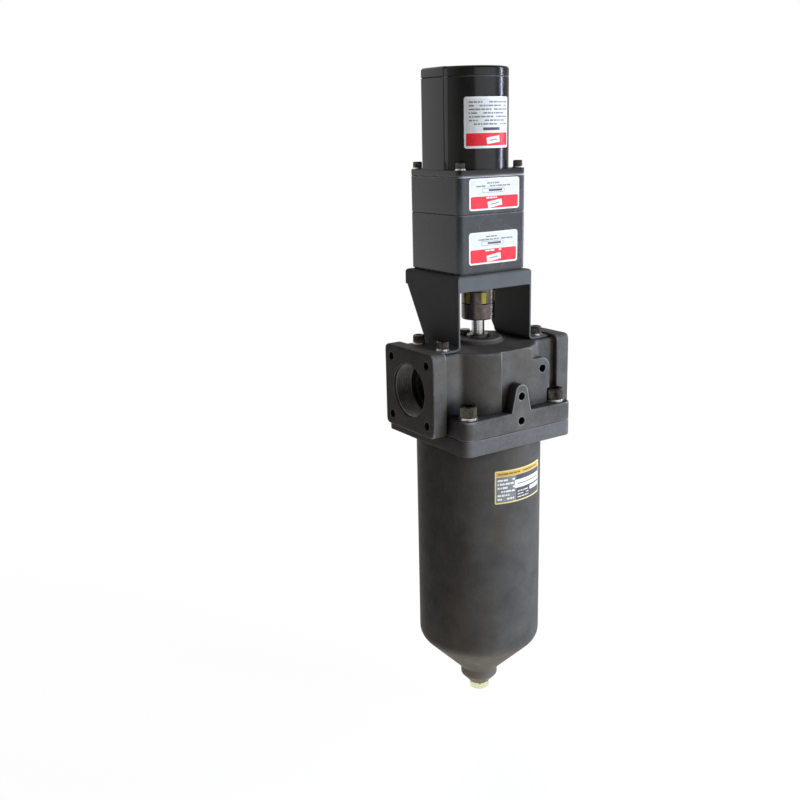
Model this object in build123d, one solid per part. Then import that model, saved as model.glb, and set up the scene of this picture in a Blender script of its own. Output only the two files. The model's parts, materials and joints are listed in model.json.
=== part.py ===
from build123d import *
import math
import os

os.makedirs("parts", exist_ok=True)

# Motor-driven in-line filter, in millimetres.
# It is modelled about the filter's vertical axis with z = 0 on the port centre line,
# and moved along +X at export so that the origin is the centre of the inlet flange's face.

# Fits and clearances
slip = 0.05             # radial clearance of a running or screwed fit
seat = 0.02             # radial clearance of a part that sits still in its bore
bolt_play = 0.5         # radial clearance of a bolt in a through hole

# Head casting
port_reach = 94.0       # filter axis to a port face
port_flange_side = 90.0
port_flange_thick = 18.0
port_flange_corner = 6.0
port_bolt_pitch = 65.0
port_bolt_hole = 8.5
outlet_bolt_hole = 9.0
port_bore = 58.0
port_thread_depth = 26.0
passage_bore = 44.0
body_diameter = 130.0
body_top_round = 3.0
dome_diameter = 90.0
dome_top = 42.2
base_side = 148.0
base_corner = 10.0
base_top = -24.0
seam = -45.0            # joint between head and bowl
neck_width = 76.0
neck_top = 41.0
neck_round = 7.0        # cast fillet between neck and body
cast_edge = 1.6         # small cast edge rounding
seam_edge = 0.7         # chamfer along both edges of the joint
boss_foot_diameter = 57.0
boss_diameter = 51.2
boss_top = 47.0
boss_round = 0.8
chamber_roof = 24.0     # roof of the clean chamber
annulus_roof = -28.0    # roof of the dirty annulus
annulus_outer = 58.0    # radius
throat_bore = 50.0      # clean throat that the element's neck runs in
throat_wall = 7.0
throat_end = -40.0
inlet_half_angle = 38.0
spigot_depth = 4.0
spigot_play = 0.1

# Instrument pad and lug on the front of the head
pad_face = 60.0
pad_left = -16.5
pad_right = 52.0
pad_top = 27.0
pad_round = 11.0
pad_hole_x = 42.0
pad_hole_z = 15.0
pad_hole = 8.4
pad_hole_depth = 12.0
lug_x = 1.0
lug_top_round = 8.5
lug_top_rise = 4.5      # centre of the round top above the upper hole
lug_foot_width = 26.6
lug_upper_hole_z = -7.0
lug_hole_pitch = 27.0
lug_hole = 8.5
lug_hole_depth = 12.0
lug_root = 10.0         # how far the lug reaches into the body

# Bowl
bowl_flange_thick = 17.0
bowl_diameter = 140.0
bowl_wall = 6.0
bowl_shoulder = -308.0  # end of the straight wall
bowl_shoulder_round = 16.0
drain_boss_diameter = 43.0
drain_boss_top = -356.5
drain_boss_low = -366.0
drain_end_diameter = 25.0
drain_end = -376.0
drain_thread = 19.0
drain_hex = 22.0
drain_hex_high = 8.0
drain_seal_thick = 1.5
drain_plug_reach = 16.0
o_ring_section = 3.5
o_ring_radius = 68.2
groove_depth = 2.7

# Bolts between head and bowl
head_bolt = 12.0
head_bolt_place = 60.0
head_bolt_head = 18.0
head_bolt_head_high = 12.0
head_bolt_washer = 21.1
head_bolt_washer_thick = 2.5
head_bolt_depth = 14.0  # thread in the bowl flange
spot_play = 0.6         # room round a washer, cut into the pad beside it
spot_high = 16.0

# Shaft, bush, seals and gland
shaft_diameter = 14.0
shaft_top = 83.5
bush_outer = 20.0
bush_high = 10.0
seal_outer = 24.0
seal_high = 4.0
seal_count = 2
gland_diameter = 25.0
gland_top = 50.2
gland_edge = 0.8
shaft_collar = 20.0
shaft_collar_high = 5.0
journal_diameter = 10.0
tail_thread = 12.0
vent_x = -4.2
vent_y = 18.5
vent_thread = 6.0
vent_head = 11.0
vent_head_high = 5.5
vent_depth = 9.0

# Rotating wire element
element_diameter = 76.0
element_wall = 3.0
element_top = -56.0
element_bottom = -270.0
wire_pitch = 7.6
wire_face = 6.2
wire_back = 3.0
rod_count = 12
rod_diameter = 3.0
cap_thick = 6.0
cap_hub = 26.0
cap_spoke = 8.0
neck_wall = 4.0
neck_high = 22.0
ring_seal_high = 4.0
ring_seal_deep = 1.8
bottom_cap_thick = 8.0
tail_nut = 19.0
tail_nut_high = 8.0
tail_washer = 24.0
tail_washer_thick = 2.0

# Cage that carries the element's foot and the scraper
tie_radius = 52.0
tie_diameter = 8.0
tie_count = 4
tie_screwed_in = 12.0
carrier_top = -292.0
carrier_thick = 8.0
carrier_ring_inner = 46.0
carrier_ring_outer = 58.5
carrier_arm = 9.0
carrier_hub = 28.0
foot_bush_outer = 16.0
tie_nut = 13.0
tie_nut_high = 6.5
tie_washer = 16.0
tie_washer_thick = 1.6
tie_tail = 2.0
blade_gap = 0.3
blade_thick = 2.5
blade_tip = 1.0
blade_bevel = 5.0
blade_depth = 17.0
blade_end_gap = 3.0
holder_depth = 10.0
holder_thick = 8.0
blade_screw = 4.0
blade_screw_head = 7.0
blade_screw_head_high = 4.0
blade_screw_count = 4

# Gear motor
drive_offset = 18.0     # output shaft to the middle of the gear case
case_side = 90.0
case_corner = 4.5
case_low = 120.0
gear_case_high = 62.0
extra_case_high = 39.0
motor_flange_high = 6.5
motor_diameter = 88.4
motor_high = 92.5
motor_cover_high = 10.0
motor_cover_round = 3.0
pad_width = 40.0
screw_circle = 108.0
case_screw = 6.0
case_screw_head = 10.0
case_screw_head_high = 6.0
case_nut = 10.0
case_nut_high = 5.0
case_washer = 12.0
case_washer_thick = 1.2
case_spring_washer = 11.8
case_spring_washer_thick = 1.6
case_screw_tail = 1.5
output_diameter = 15.0
output_end = 99.0
output_inside = 140.0
output_seat_end = 134.0
pilot_diameter = 36.0
bearing_outer = 28.0
bearing_wide = 7.0
ball_count = 9
ball_diameter = 4.0
ball_play = 0.1
oil_seal_high = 6.0
oil_seal_gap = 1.0

# Bracket of folded plate
plate_thick = 2.5
bend_inner = 3.0
tray_edge = 3.5
bracket_width = 100.0
bracket_front = -31.0
bracket_back = 67.0
lip_high = 17.0
leg_back_top = 63.5
leg_back_low = 34.5
leg_slant_low = 51.5
leg_low_round = 3.0
foot_back = 31.0
foot_gap = 0.5          # between a foot and the port flange beside it
foot_bolt_shift = 1.4   # from the middle of the foot's flat to its bolts
foot_bolt_y = 22.0
foot_bolt = 8.0
foot_bolt_head = 13.0
foot_bolt_head_high = 8.0
foot_bolt_length = 20.0
foot_washer = 14.8
foot_washer_thick = 2.0

# Jaw coupling
coupling_diameter = 36.5
coupling_low = 67.5
lower_hub_high = 17.0
jaw_high = 13.0
jaw_end_gap = 1.0
upper_hub_high = 15.5
leg_wide = 6.0
leg_count = 6
claw_turn = 14.0        # how far the claws stand turned from the filter's front
leg_play = 0.1
leg_sunk = 0.4          # the legs' ends lie this far inside the jaws' outer face
spider_core = 19.0
spider_bore = 10.0
hub_chamfer = 1.0
key_wide = 5.0
key_high = 5.0
key_depth = 3.0         # how far the key lies in the shaft
grub_screw = 5.0
grub_sunk = 1.0

# Worked-out places
plate_low = case_low - plate_thick
bend_outer = bend_inner + plate_thick
foot_top = neck_top + plate_thick
foot_reach = port_reach - port_flange_thick - foot_gap
foot_bolt_x = (bracket_width / 2 + foot_reach) / 2 + foot_bolt_shift
gear_case_top = case_low + gear_case_high
extra_case_top = gear_case_top + extra_case_high
motor_low = extra_case_top + motor_flange_high
cover_low = motor_low + motor_high
cover_top = cover_low + motor_cover_high
screw_half = screw_circle / 2 / math.sqrt(2)
bowl_flange_low = seam - bowl_flange_thick
bowl_inner = bowl_diameter / 2 - bowl_wall
throat_radius = throat_bore / 2
shaft_radius = shaft_diameter / 2
cap_top = element_top + cap_thick
bottom_cap_low = element_bottom - bottom_cap_thick
tail_nut_low = bottom_cap_low - tail_washer_thick - tail_nut_high
carrier_low = carrier_top - carrier_thick
seal_low = chamber_roof + bush_high
seal_top = seal_low + seal_high * seal_count
jaw_low = coupling_low + lower_hub_high
jaw_top = jaw_low + jaw_high
upper_hub_low = jaw_top + jaw_end_gap
upper_hub_top = upper_hub_low + upper_hub_high
blade_x = element_diameter / 2 + blade_gap
holder_x = blade_x + blade_depth - holder_depth
drain_plug_seat = drain_end - drain_seal_thick


def rod(radius, z_low, z_high, x=0.0, y=0.0):
    """Round bar along Z."""
    low = (Align.CENTER, Align.CENTER, Align.MIN)
    return Pos(x, y, z_low) * Cylinder(radius, z_high - z_low, align=low)


def pipe(outer, inner, z_low, z_high, x=0.0, y=0.0):
    return rod(outer, z_low, z_high, x, y) - rod(inner, z_low, z_high, x, y)


def block(x_low, x_high, y_low, y_high, z_low, z_high):
    size = Box(x_high - x_low, y_high - y_low, z_high - z_low)
    return Pos((x_low + x_high) / 2, (y_low + y_high) / 2, (z_low + z_high) / 2) * size


def square_plate(side, corner, z_low, z_high, y=0.0):
    return Pos(0, y, z_low) * extrude(RectangleRounded(side, side, corner), z_high - z_low)


def hexagon(across, z_low, z_high, x=0.0, y=0.0):
    return Pos(x, y, z_low) * extrude(RegularPolygon(across / 2, 6, major_radius=False), z_high - z_low)


def turned(points):
    """Solid of revolution about Z from (radius, z) points."""
    return revolve(Plane.XZ * make_face(Polyline(points, close=True)), Axis.Z)


def along_x(radius, x_low, x_high, y=0.0, z=0.0):
    low = (Align.CENTER, Align.CENTER, Align.MIN)
    return Pos(x_low, y, z) * Rot(0, 90, 0) * Cylinder(radius, x_high - x_low, align=low)


def along_y(radius, y_low, y_high, x=0.0, z=0.0):
    low = (Align.CENTER, Align.CENTER, Align.MIN)
    return Pos(x, y_high, z) * Rot(90, 0, 0) * Cylinder(radius, y_high - y_low, align=low)


def ring_places(count, radius, first_angle=0.0):
    return [
        (
            radius * math.cos(math.radians(first_angle + 360.0 * i / count)),
            radius * math.sin(math.radians(first_angle + 360.0 * i / count)),
        )
        for i in range(count)
    ]


def corners(half_x, half_y, y_middle=0.0):
    return [(sx * half_x, y_middle + sy * half_y) for sx in (-1, 1) for sy in (-1, 1)]


head_bolt_places = corners(head_bolt_place, head_bolt_place)
case_screw_places = corners(screw_half, screw_half, drive_offset)
foot_bolt_places = corners(foot_bolt_x, foot_bolt_y)
tie_places = ring_places(tie_count, tie_radius, 45.0)


def socket_screw(thread, head, head_high, z_seat, z_end, x=0.0, y=0.0):
    """Cap screw that stands with its head's underside at z_seat."""
    screw = rod(thread / 2, z_end, z_seat + 0.5, x, y) + rod(head / 2, z_seat, z_seat + head_high, x, y)
    return screw - hexagon(head / 2, z_seat + head_high * 0.45, z_seat + head_high, x, y)


def group(solids):
    return Compound([solid for shape in solids for solid in shape.solids()])


# Head casting

def port_flange(side):
    inner = port_reach - port_flange_thick
    face = Plane.YZ * RectangleRounded(port_flange_side, port_flange_side, port_flange_corner)
    plate = extrude(Pos(inner, 0, 0) * face, port_flange_thick)
    plate = fillet(plate.edges().filter_by(Axis.X, reverse=True), cast_edge)
    if side < 0:
        plate = mirror(plate, Plane.YZ)
    return plate


def head_lug():
    """Flat lug with a round top that widens down to the base flange."""
    foot = lug_foot_width / 2
    round_z = lug_upper_hole_z + lug_top_rise
    low = seam + seam_edge
    flare = Polyline(
        (lug_x - lug_top_round, round_z),
        (lug_x - foot, base_top),
        (lug_x - foot, low),
        (lug_x + foot, low),
        (lug_x + foot, base_top),
        (lug_x + lug_top_round, round_z),
        close=True,
    )
    outline = make_face(flare) + Pos(lug_x, round_z) * Circle(lug_top_round)
    depth = base_side / 2 - body_diameter / 2 + lug_root
    return Pos(0, -body_diameter / 2 + lug_root, 0) * extrude(Plane.XZ * outline, depth)


def head_pad():
    """Machined face for an instrument, with one rounded corner."""
    outline = Polyline(
        (pad_left, base_top),
        (pad_right, base_top),
        (pad_right, pad_top),
        (pad_left, pad_top),
        close=True,
    )
    sketch = make_face(outline)
    outer_corner = sketch.vertices().sort_by(Axis.X)[-2:].sort_by(Axis.Y)[-1]
    sketch = fillet(outer_corner, pad_round)
    depth = pad_face - neck_width / 2 + 2
    return Pos(0, -pad_face + depth, 0) * extrude(Plane.XZ * sketch, depth)


def head_body():
    """Round body with a neck to each port, cast as one outline."""
    reach = port_reach - port_flange_thick + 1
    outline = Circle(body_diameter / 2) + Rectangle(2 * reach, neck_width)
    inside_corners = [v for v in outline.vertices() if abs(v.X) < reach - 1]
    outline = fillet(inside_corners, neck_round)
    body = Pos(0, 0, base_top - 1) * extrude(outline, neck_top - base_top + 1)
    body = fillet(body.faces().sort_by(Axis.Z)[-1].edges(), body_top_round)
    body -= block(pad_left, pad_right, -body_diameter, -pad_face, base_top, neck_top)
    body += block(-reach, reach, -neck_width / 2, neck_width / 2, seam, base_top)
    return body + turned([
        (0, neck_top - 1),
        (dome_diameter / 2, neck_top - 1),
        (dome_diameter / 2, neck_top),
        (boss_foot_diameter / 2, dome_top),
        (0, dome_top),
    ])


def head_boss():
    """Cast boss with sloping sides and a machined top."""
    boss = turned([
        (0, neck_top),
        (boss_foot_diameter / 2, neck_top),
        (boss_foot_diameter / 2, dome_top),
        (boss_diameter / 2, boss_top),
        (0, boss_top),
    ])
    return fillet(boss.faces().sort_by(Axis.Z)[-1].edges(), boss_round)


def head_outside():
    body = head_body()
    body += head_pad()
    base = square_plate(base_side, base_corner, seam, base_top)
    base = fillet(base.faces().sort_by(Axis.Z)[-1].edges(), cast_edge)
    base = chamfer(base.faces().sort_by(Axis.Z)[0].edges(), seam_edge)
    body += base
    body += head_lug()
    body += head_boss()
    return body + port_flange(-1) + port_flange(1)


def inlet_chamber():
    """Sector of the annulus that carries the inlet flow down to the bowl."""
    sector = pipe(annulus_outer, throat_radius + throat_wall, seam, chamber_roof)
    reach = annulus_outer * 2
    side = reach * math.tan(math.radians(inlet_half_angle))
    wedge = make_face(Polyline((0, 0), (-reach, side), (-reach, -side), close=True))
    return sector & (Pos(0, 0, seam) * extrude(wedge, chamber_roof - seam))


def head_casting():
    head = head_outside()
    head += rod(bowl_inner - spigot_play, seam - spigot_depth, seam + 1)
    head -= pipe(annulus_outer, throat_radius + throat_wall, seam - spigot_depth, annulus_roof)
    head -= rod(annulus_outer, seam - spigot_depth, throat_end)
    head -= inlet_chamber()
    head -= rod(throat_radius, seam, chamber_roof)
    for side in (-1, 1):
        mouth = sorted((side * port_reach, side * (port_reach - port_thread_depth)))
        head -= along_x(port_bore / 2, mouth[0], mouth[1])
        hole = port_bolt_hole if side < 0 else outlet_bolt_hole
        for y, z in corners(port_bolt_pitch / 2, port_bolt_pitch / 2):
            flange = sorted((side * port_reach, side * (port_reach - port_flange_thick)))
            head -= along_x(hole / 2, flange[0], flange[1], y, z)
    head -= along_x(passage_bore / 2, -port_reach, -throat_radius - throat_wall - 2)
    head -= along_x(passage_bore / 2, 0, port_reach)
    head -= rod(bush_outer / 2 + seat, chamber_roof, seal_low)
    head -= rod(seal_outer / 2 + seat, seal_low, boss_top)
    head -= rod(vent_thread / 2 + slip, boss_top - vent_depth, boss_top, vent_x, vent_y)
    head -= along_y(pad_hole / 2, -pad_face, -pad_face + pad_hole_depth, pad_hole_x, pad_hole_z)
    for z in (lug_upper_hole_z, lug_upper_hole_z - lug_hole_pitch):
        head -= along_y(lug_hole / 2, -base_side / 2, -base_side / 2 + lug_hole_depth, lug_x, z)
    for x, y in head_bolt_places:
        head -= rod(head_bolt / 2 + bolt_play, seam, base_top, x, y)
        head -= rod(head_bolt_washer / 2 + spot_play, base_top, base_top + spot_high, x, y)
    for x, y in foot_bolt_places:
        deep = foot_top + foot_washer_thick - foot_bolt_length - 1
        head -= rod(foot_bolt / 2 + slip, deep, foot_top, x, y)
    for x, y in tie_places:
        head -= rod(tie_diameter / 2 + slip, annulus_roof, annulus_roof + tie_screwed_in, x, y)
    return head


def shaft_bush():
    return pipe(bush_outer / 2, shaft_radius + slip, chamber_roof, seal_low)


def shaft_seals():
    """Lip rings stacked above the bush."""
    seals = []
    for i in range(seal_count):
        low = seal_low + i * seal_high
        seals.append(
            turned([
                (shaft_radius + slip, low + seal_high * 0.6),
                (shaft_radius + 1.5, low),
                (seal_outer / 2, low),
                (seal_outer / 2, low + seal_high - 0.05),
                (shaft_radius + slip, low + seal_high - 0.05),
            ])
        )
    return group(seals)


def shaft_gland():
    gland = rod(seal_outer / 2, seal_top, boss_top) + rod(gland_diameter / 2, boss_top, gland_top)
    gland = chamfer(gland.faces().sort_by(Axis.Z)[-1].edges(), gland_edge)
    return gland - rod(shaft_radius + slip, seal_top, gland_top)


def vent_screw():
    head = hexagon(vent_head, boss_top, boss_top + vent_head_high, vent_x, vent_y)
    return head + rod(vent_thread / 2, boss_top - vent_depth + 1, boss_top + 1, vent_x, vent_y)


# Bowl and drain

def bowl():
    outer = bowl_diameter / 2
    boss = drain_boss_diameter / 2
    shell = turned([
        (0, seam),
        (outer, seam),
        (outer, bowl_shoulder),
        (boss, drain_boss_top),
        (boss, drain_boss_low),
        (drain_end_diameter / 2, drain_end),
        (0, drain_end),
    ])
    shoulder = shell.edges().filter_by(GeomType.CIRCLE).sort_by(Axis.Z)
    shoulder = [e for e in shoulder if abs(e.center().Z - bowl_shoulder) < 0.1]
    shell = fillet(shoulder, bowl_shoulder_round)
    flange = square_plate(base_side, base_corner, bowl_flange_low, seam)
    flange = fillet(flange.faces().sort_by(Axis.Z)[0].edges(), cast_edge)
    flange = chamfer(flange.faces().sort_by(Axis.Z)[-1].edges(), seam_edge)
    shell += flange
    floor = drain_boss_top + bowl_wall
    shell -= turned([
        (0, seam),
        (bowl_inner, seam),
        (bowl_inner, bowl_shoulder + bowl_wall * 0.4),
        (boss - bowl_wall * 0.6, floor),
        (0, floor),
    ])
    shell -= rod(drain_thread / 2 + slip, drain_end, floor)
    groove = pipe(o_ring_radius + o_ring_section / 2 + seat, o_ring_radius - o_ring_section / 2 - seat,
                  seam - groove_depth, seam)
    shell -= groove
    for x, y in head_bolt_places:
        shell -= rod(head_bolt / 2 + slip, seam - head_bolt_depth - 1, seam, x, y)
    return shell


def head_o_ring():
    """Squeezed face seal in the bowl's groove."""
    return pipe(o_ring_radius + o_ring_section / 2, o_ring_radius - o_ring_section / 2, seam - groove_depth, seam)


def drain_plug():
    plug = hexagon(drain_hex, drain_plug_seat - drain_hex_high, drain_plug_seat)
    plug = chamfer(plug.faces().sort_by(Axis.Z)[0].edges(), 1.0)
    return plug + rod(drain_thread / 2, drain_plug_seat, drain_plug_seat + drain_plug_reach)


def drain_seal():
    return pipe(drain_hex / 2 + 0.5, drain_thread / 2 + slip, drain_plug_seat, drain_end)


def head_bolts():
    seat_z = base_top + head_bolt_washer_thick
    end = seam - head_bolt_depth
    return group(
        socket_screw(head_bolt, head_bolt_head, head_bolt_head_high, seat_z, end, x, y)
        for x, y in head_bolt_places
    )


def head_bolt_washers():
    return group(
        pipe(head_bolt_washer / 2, head_bolt / 2 + bolt_play, base_top, base_top + head_bolt_washer_thick, x, y)
        for x, y in head_bolt_places
    )


# Shaft and rotating element

def drive_shaft():
    collar_low = cap_top
    shaft = rod(shaft_radius, cap_top - cap_thick, shaft_top)
    shaft += rod(shaft_collar / 2, collar_low, collar_low + shaft_collar_high)
    shaft += rod(shaft_radius, element_bottom, element_top)
    shaft += rod(tail_thread / 2, tail_nut_low, element_bottom)
    shaft += rod(journal_diameter / 2, carrier_low - 1, tail_nut_low)
    shaft = chamfer(shaft.faces().sort_by(Axis.Z)[-1].edges(), 1.0)
    return shaft - key_slot(shaft_radius, coupling_low + 2, shaft_top)


def key_slot(radius, z_low, z_high):
    return block(-key_wide / 2, key_wide / 2, -radius - key_high, -radius + key_depth, z_low, z_high)


def key_bar(radius, z_low, z_high):
    return block(-key_wide / 2 + seat, key_wide / 2 - seat, -radius + key_depth - key_high, -radius + key_depth,
                 z_low, z_high)


def drive_shaft_key():
    return key_bar(shaft_radius, coupling_low + 2, shaft_top - 1)


def element_neck_bore():
    return throat_radius - slip - neck_wall


def element_top_cap():
    """Cap with a hollow neck; three spokes carry its hub on the shaft."""
    cap = pipe(element_diameter / 2, element_neck_bore(), element_top, cap_top)
    cap += pipe(throat_radius - slip, element_neck_bore(), cap_top, cap_top + neck_high)
    groove_low = cap_top + neck_high - 2 * ring_seal_high
    cap -= pipe(throat_radius, throat_radius - slip - ring_seal_deep, groove_low, groove_low + ring_seal_high)
    for i in range(3):
        spoke = block(cap_hub / 2 - 2, element_neck_bore() + 1, -cap_spoke / 2, cap_spoke / 2, element_top, cap_top)
        cap += Rot(0, 0, 60 + 120 * i) * spoke
    cap += rod(cap_hub / 2, element_top, cap_top)
    return cap - rod(shaft_radius + seat, element_top, cap_top)


def element_neck_seal():
    low = cap_top + neck_high - 2 * ring_seal_high + seat
    return pipe(throat_radius - seat, throat_radius - slip - ring_seal_deep + seat, low,
                low + ring_seal_high - 2 * seat)


def element_wires():
    """Wedge wire: broad face outside, narrow back on the rods."""
    outer = element_diameter / 2
    inner = outer - element_wall
    length = element_top - element_bottom
    count = int(length // wire_pitch)
    pitch = length / count
    wire = turned([
        (outer, -wire_face / 2),
        (outer, wire_face / 2),
        (inner, wire_back / 2),
        (inner, -wire_back / 2),
    ])
    return group(Pos(0, 0, element_bottom + pitch * (i + 0.5)) * wire for i in range(count))


def element_rods():
    radius = element_diameter / 2 - element_wall - rod_diameter / 2 - seat
    return group(
        rod(rod_diameter / 2, element_bottom, element_top, x, y)
        for x, y in ring_places(rod_count, radius, 15.0)
    )


def element_bottom_cap():
    cap = rod(element_diameter / 2, bottom_cap_low, element_bottom)
    cap = chamfer(cap.faces().sort_by(Axis.Z)[0].edges(), 1.5)
    return cap - rod(tail_thread / 2 + seat, bottom_cap_low, element_bottom)


def element_washer():
    return pipe(tail_washer / 2, tail_thread / 2 + seat, bottom_cap_low - tail_washer_thick, bottom_cap_low)


def element_nut():
    nut = hexagon(tail_nut, tail_nut_low, tail_nut_low + tail_nut_high)
    return nut - rod(tail_thread / 2 + seat, tail_nut_low, tail_nut_low + tail_nut_high)


# Cage and scraper

def tie_rods():
    end = carrier_low - tie_washer_thick - tie_nut_high - tie_tail
    return group(
        rod(tie_diameter / 2, end, annulus_roof + tie_screwed_in, x, y)
        + rod(tie_diameter / 2 + 2, carrier_top, annulus_roof, x, y)
        for x, y in tie_places
    )


def bottom_carrier():
    """Open wheel: the dirt scraped off falls between its arms."""
    carrier = pipe(carrier_ring_outer, carrier_ring_inner, carrier_low, carrier_top)
    for i in range(tie_count):
        arm = block(carrier_hub / 2 - 2, carrier_ring_inner + 1, -carrier_arm / 2, carrier_arm / 2,
                    carrier_low, carrier_top)
        carrier += Rot(0, 0, 45 + 360 * i / tie_count) * arm
    carrier += rod(carrier_hub / 2, carrier_low, carrier_top)
    carrier -= rod(foot_bush_outer / 2 + seat, carrier_low, carrier_top)
    for x, y in tie_places:
        carrier -= rod(tie_diameter / 2 + slip, carrier_low, carrier_top, x, y)
    return carrier


def foot_bush():
    return pipe(foot_bush_outer / 2, journal_diameter / 2 + slip, carrier_low, carrier_top)


def tie_washers():
    return group(
        pipe(tie_washer / 2, tie_diameter / 2 + slip, carrier_low - tie_washer_thick, carrier_low, x, y)
        for x, y in tie_places
    )


def tie_nuts():
    top = carrier_low - tie_washer_thick
    return group(
        hexagon(tie_nut, top - tie_nut_high, top, x, y)
        - rod(tie_diameter / 2 + slip, top - tie_nut_high, top, x, y)
        for x, y in tie_places
    )


def blade_screw_heights():
    span = element_top - element_bottom
    return [element_bottom + span * (i + 0.5) / blade_screw_count for i in range(blade_screw_count)]


def scraper_holder():
    holder = block(holder_x, holder_x + holder_depth, blade_thick / 2, blade_thick / 2 + holder_thick,
                   carrier_top, annulus_roof)
    for z in blade_screw_heights():
        holder -= along_y(blade_screw / 2 + slip, blade_thick / 2, blade_thick / 2 + holder_thick,
                          holder_x + holder_depth / 2, z)
    return holder


def scraper_blade():
    """Flat strip with a bevelled edge that runs close to the wires."""
    half = blade_thick / 2
    section = make_face(Polyline(
        (blade_x, half),
        (blade_x, half - blade_tip),
        (blade_x + blade_bevel, -half),
        (blade_x + blade_depth, -half),
        (blade_x + blade_depth, half),
        close=True,
    ))
    low = element_bottom + blade_end_gap
    blade = Pos(0, 0, low) * extrude(section, element_top - blade_end_gap - low)
    for z in blade_screw_heights():
        blade -= along_y(blade_screw / 2 + slip, -half, half, holder_x + holder_depth / 2, z)
    return blade


def scraper_screws():
    half = blade_thick / 2
    x = holder_x + holder_depth / 2
    return group(
        along_y(blade_screw / 2, -half - 0.5, half + holder_thick, x, z)
        + along_y(blade_screw_head / 2, -half - blade_screw_head_high, -half, x, z)
        for z in blade_screw_heights()
    )


# Gear motor

def drill_case(shape, z_low, z_high):
    for x, y in case_screw_places:
        shape -= rod(case_screw / 2 + bolt_play, z_low, z_high, x, y)
    return shape


def gearhead_case():
    case = square_plate(case_side, case_corner, case_low, gear_case_top, drive_offset)
    case = fillet(case.faces().sort_by(Axis.Z)[0].edges(), 0.8)
    case += rod(pilot_diameter / 2, plate_low, case_low + 1)
    case -= rod(bearing_outer / 2 + seat, plate_low, output_seat_end)
    case -= rod(output_diameter / 2 + 1, output_seat_end, output_inside + 1)
    return drill_case(case, case_low, gear_case_top)


def extra_gearhead_case():
    case = square_plate(case_side, case_corner, gear_case_top, extra_case_top, drive_offset)
    return drill_case(case, gear_case_top, extra_case_top)


def motor_flange():
    flange = square_plate(case_side, case_corner, extra_case_top, motor_low, drive_offset)
    flange = fillet(flange.faces().sort_by(Axis.Z)[-1].edges(), 0.8)
    return drill_case(flange, extra_case_top, motor_low)


def motor_section():
    """Round motor with a flat pad flush with the gear case."""
    pad = Pos(-case_side / 4, drive_offset) * Rectangle(case_side / 2, pad_width)
    return Pos(0, drive_offset) * Circle(motor_diameter / 2) + pad


def motor_housing():
    return Pos(0, 0, motor_low) * extrude(motor_section(), motor_high)


def motor_end_cover():
    cover = Pos(0, 0, cover_low) * extrude(motor_section(), motor_cover_high)
    return fillet(cover.faces().sort_by(Axis.Z)[-1].edges(), motor_cover_round)


def motor_screws():
    seat_z = motor_low + case_spring_washer_thick
    end = plate_low - case_washer_thick - case_nut_high - case_screw_tail
    return group(
        socket_screw(case_screw, case_screw_head, case_screw_head_high, seat_z, end, x, y)
        for x, y in case_screw_places
    )


def motor_head_washers():
    top = motor_low + case_spring_washer_thick
    return group(
        pipe(case_spring_washer / 2, case_screw / 2 + slip, motor_low, top, x, y)
        for x, y in case_screw_places
    )


def motor_screw_washers():
    return group(
        pipe(case_washer / 2, case_screw / 2 + slip, plate_low - case_washer_thick, plate_low, x, y)
        for x, y in case_screw_places
    )


def motor_screw_nuts():
    top = plate_low - case_washer_thick
    return group(
        hexagon(case_nut, top - case_nut_high, top, x, y)
        - rod(case_screw / 2 + slip, top - case_nut_high, top, x, y)
        for x, y in case_screw_places
    )


def output_shaft():
    shaft = rod(output_diameter / 2, output_end, output_inside)
    shaft = chamfer(shaft.faces().sort_by(Axis.Z)[0].edges(), 0.8)
    return shaft - key_slot(output_diameter / 2, output_end, upper_hub_top)


def output_shaft_key():
    return key_bar(output_diameter / 2, output_end + 1, upper_hub_top - 1)


def bearing_low():
    return output_seat_end - bearing_wide


def ball_circle():
    return (output_diameter / 2 + bearing_outer / 2) / 2


def ball_groove():
    """Torus that the balls run in."""
    middle = bearing_low() + bearing_wide / 2
    return Pos(0, 0, middle) * Torus(ball_circle(), ball_diameter / 2 + ball_play)


def output_bearing_outer():
    ring = pipe(bearing_outer / 2, ball_circle() + ball_diameter / 4, bearing_low(), output_seat_end)
    return ring - ball_groove()


def output_bearing_inner():
    ring = pipe(ball_circle() - ball_diameter / 4, output_diameter / 2 + seat, bearing_low(), output_seat_end)
    return ring - ball_groove()


def output_bearing_balls():
    middle = bearing_low() + bearing_wide / 2
    return group(
        Pos(x, y, middle) * Sphere(ball_diameter / 2) for x, y in ring_places(ball_count, ball_circle())
    )


def output_oil_seal():
    low = plate_low + oil_seal_gap
    return pipe(bearing_outer / 2, output_diameter / 2 + slip, low, low + oil_seal_high)


# Bracket

def bracket_tray():
    """Top plate with its edges turned down all round."""
    half = bracket_width / 2
    low = case_low - lip_high
    tray = block(-half, half, bracket_front, bracket_back, low, case_low)
    tray = fillet(tray.faces().sort_by(Axis.Z)[-1].edges(), tray_edge)
    inner = half - plate_thick
    hollow = block(-inner, inner, bracket_front + plate_thick, bracket_back - plate_thick, low, plate_low)
    return tray - hollow


def leg_side():
    """Leg seen from the side: upright in front, slanted behind."""
    outline = make_face(Polyline(
        (bracket_front, neck_top),
        (foot_back, neck_top),
        (foot_back, foot_top + bend_inner),
        (leg_back_low, leg_slant_low),
        (leg_back_top, case_low - lip_high),
        (bracket_front, case_low - lip_high),
        close=True,
    ))
    low_back = outline.vertices().sort_by(Axis.Y)[3]
    outline = fillet(low_back, leg_low_round)
    return extrude(Pos(-foot_reach, 0, 0) * (Plane.YZ * outline), 2 * foot_reach)


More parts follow.
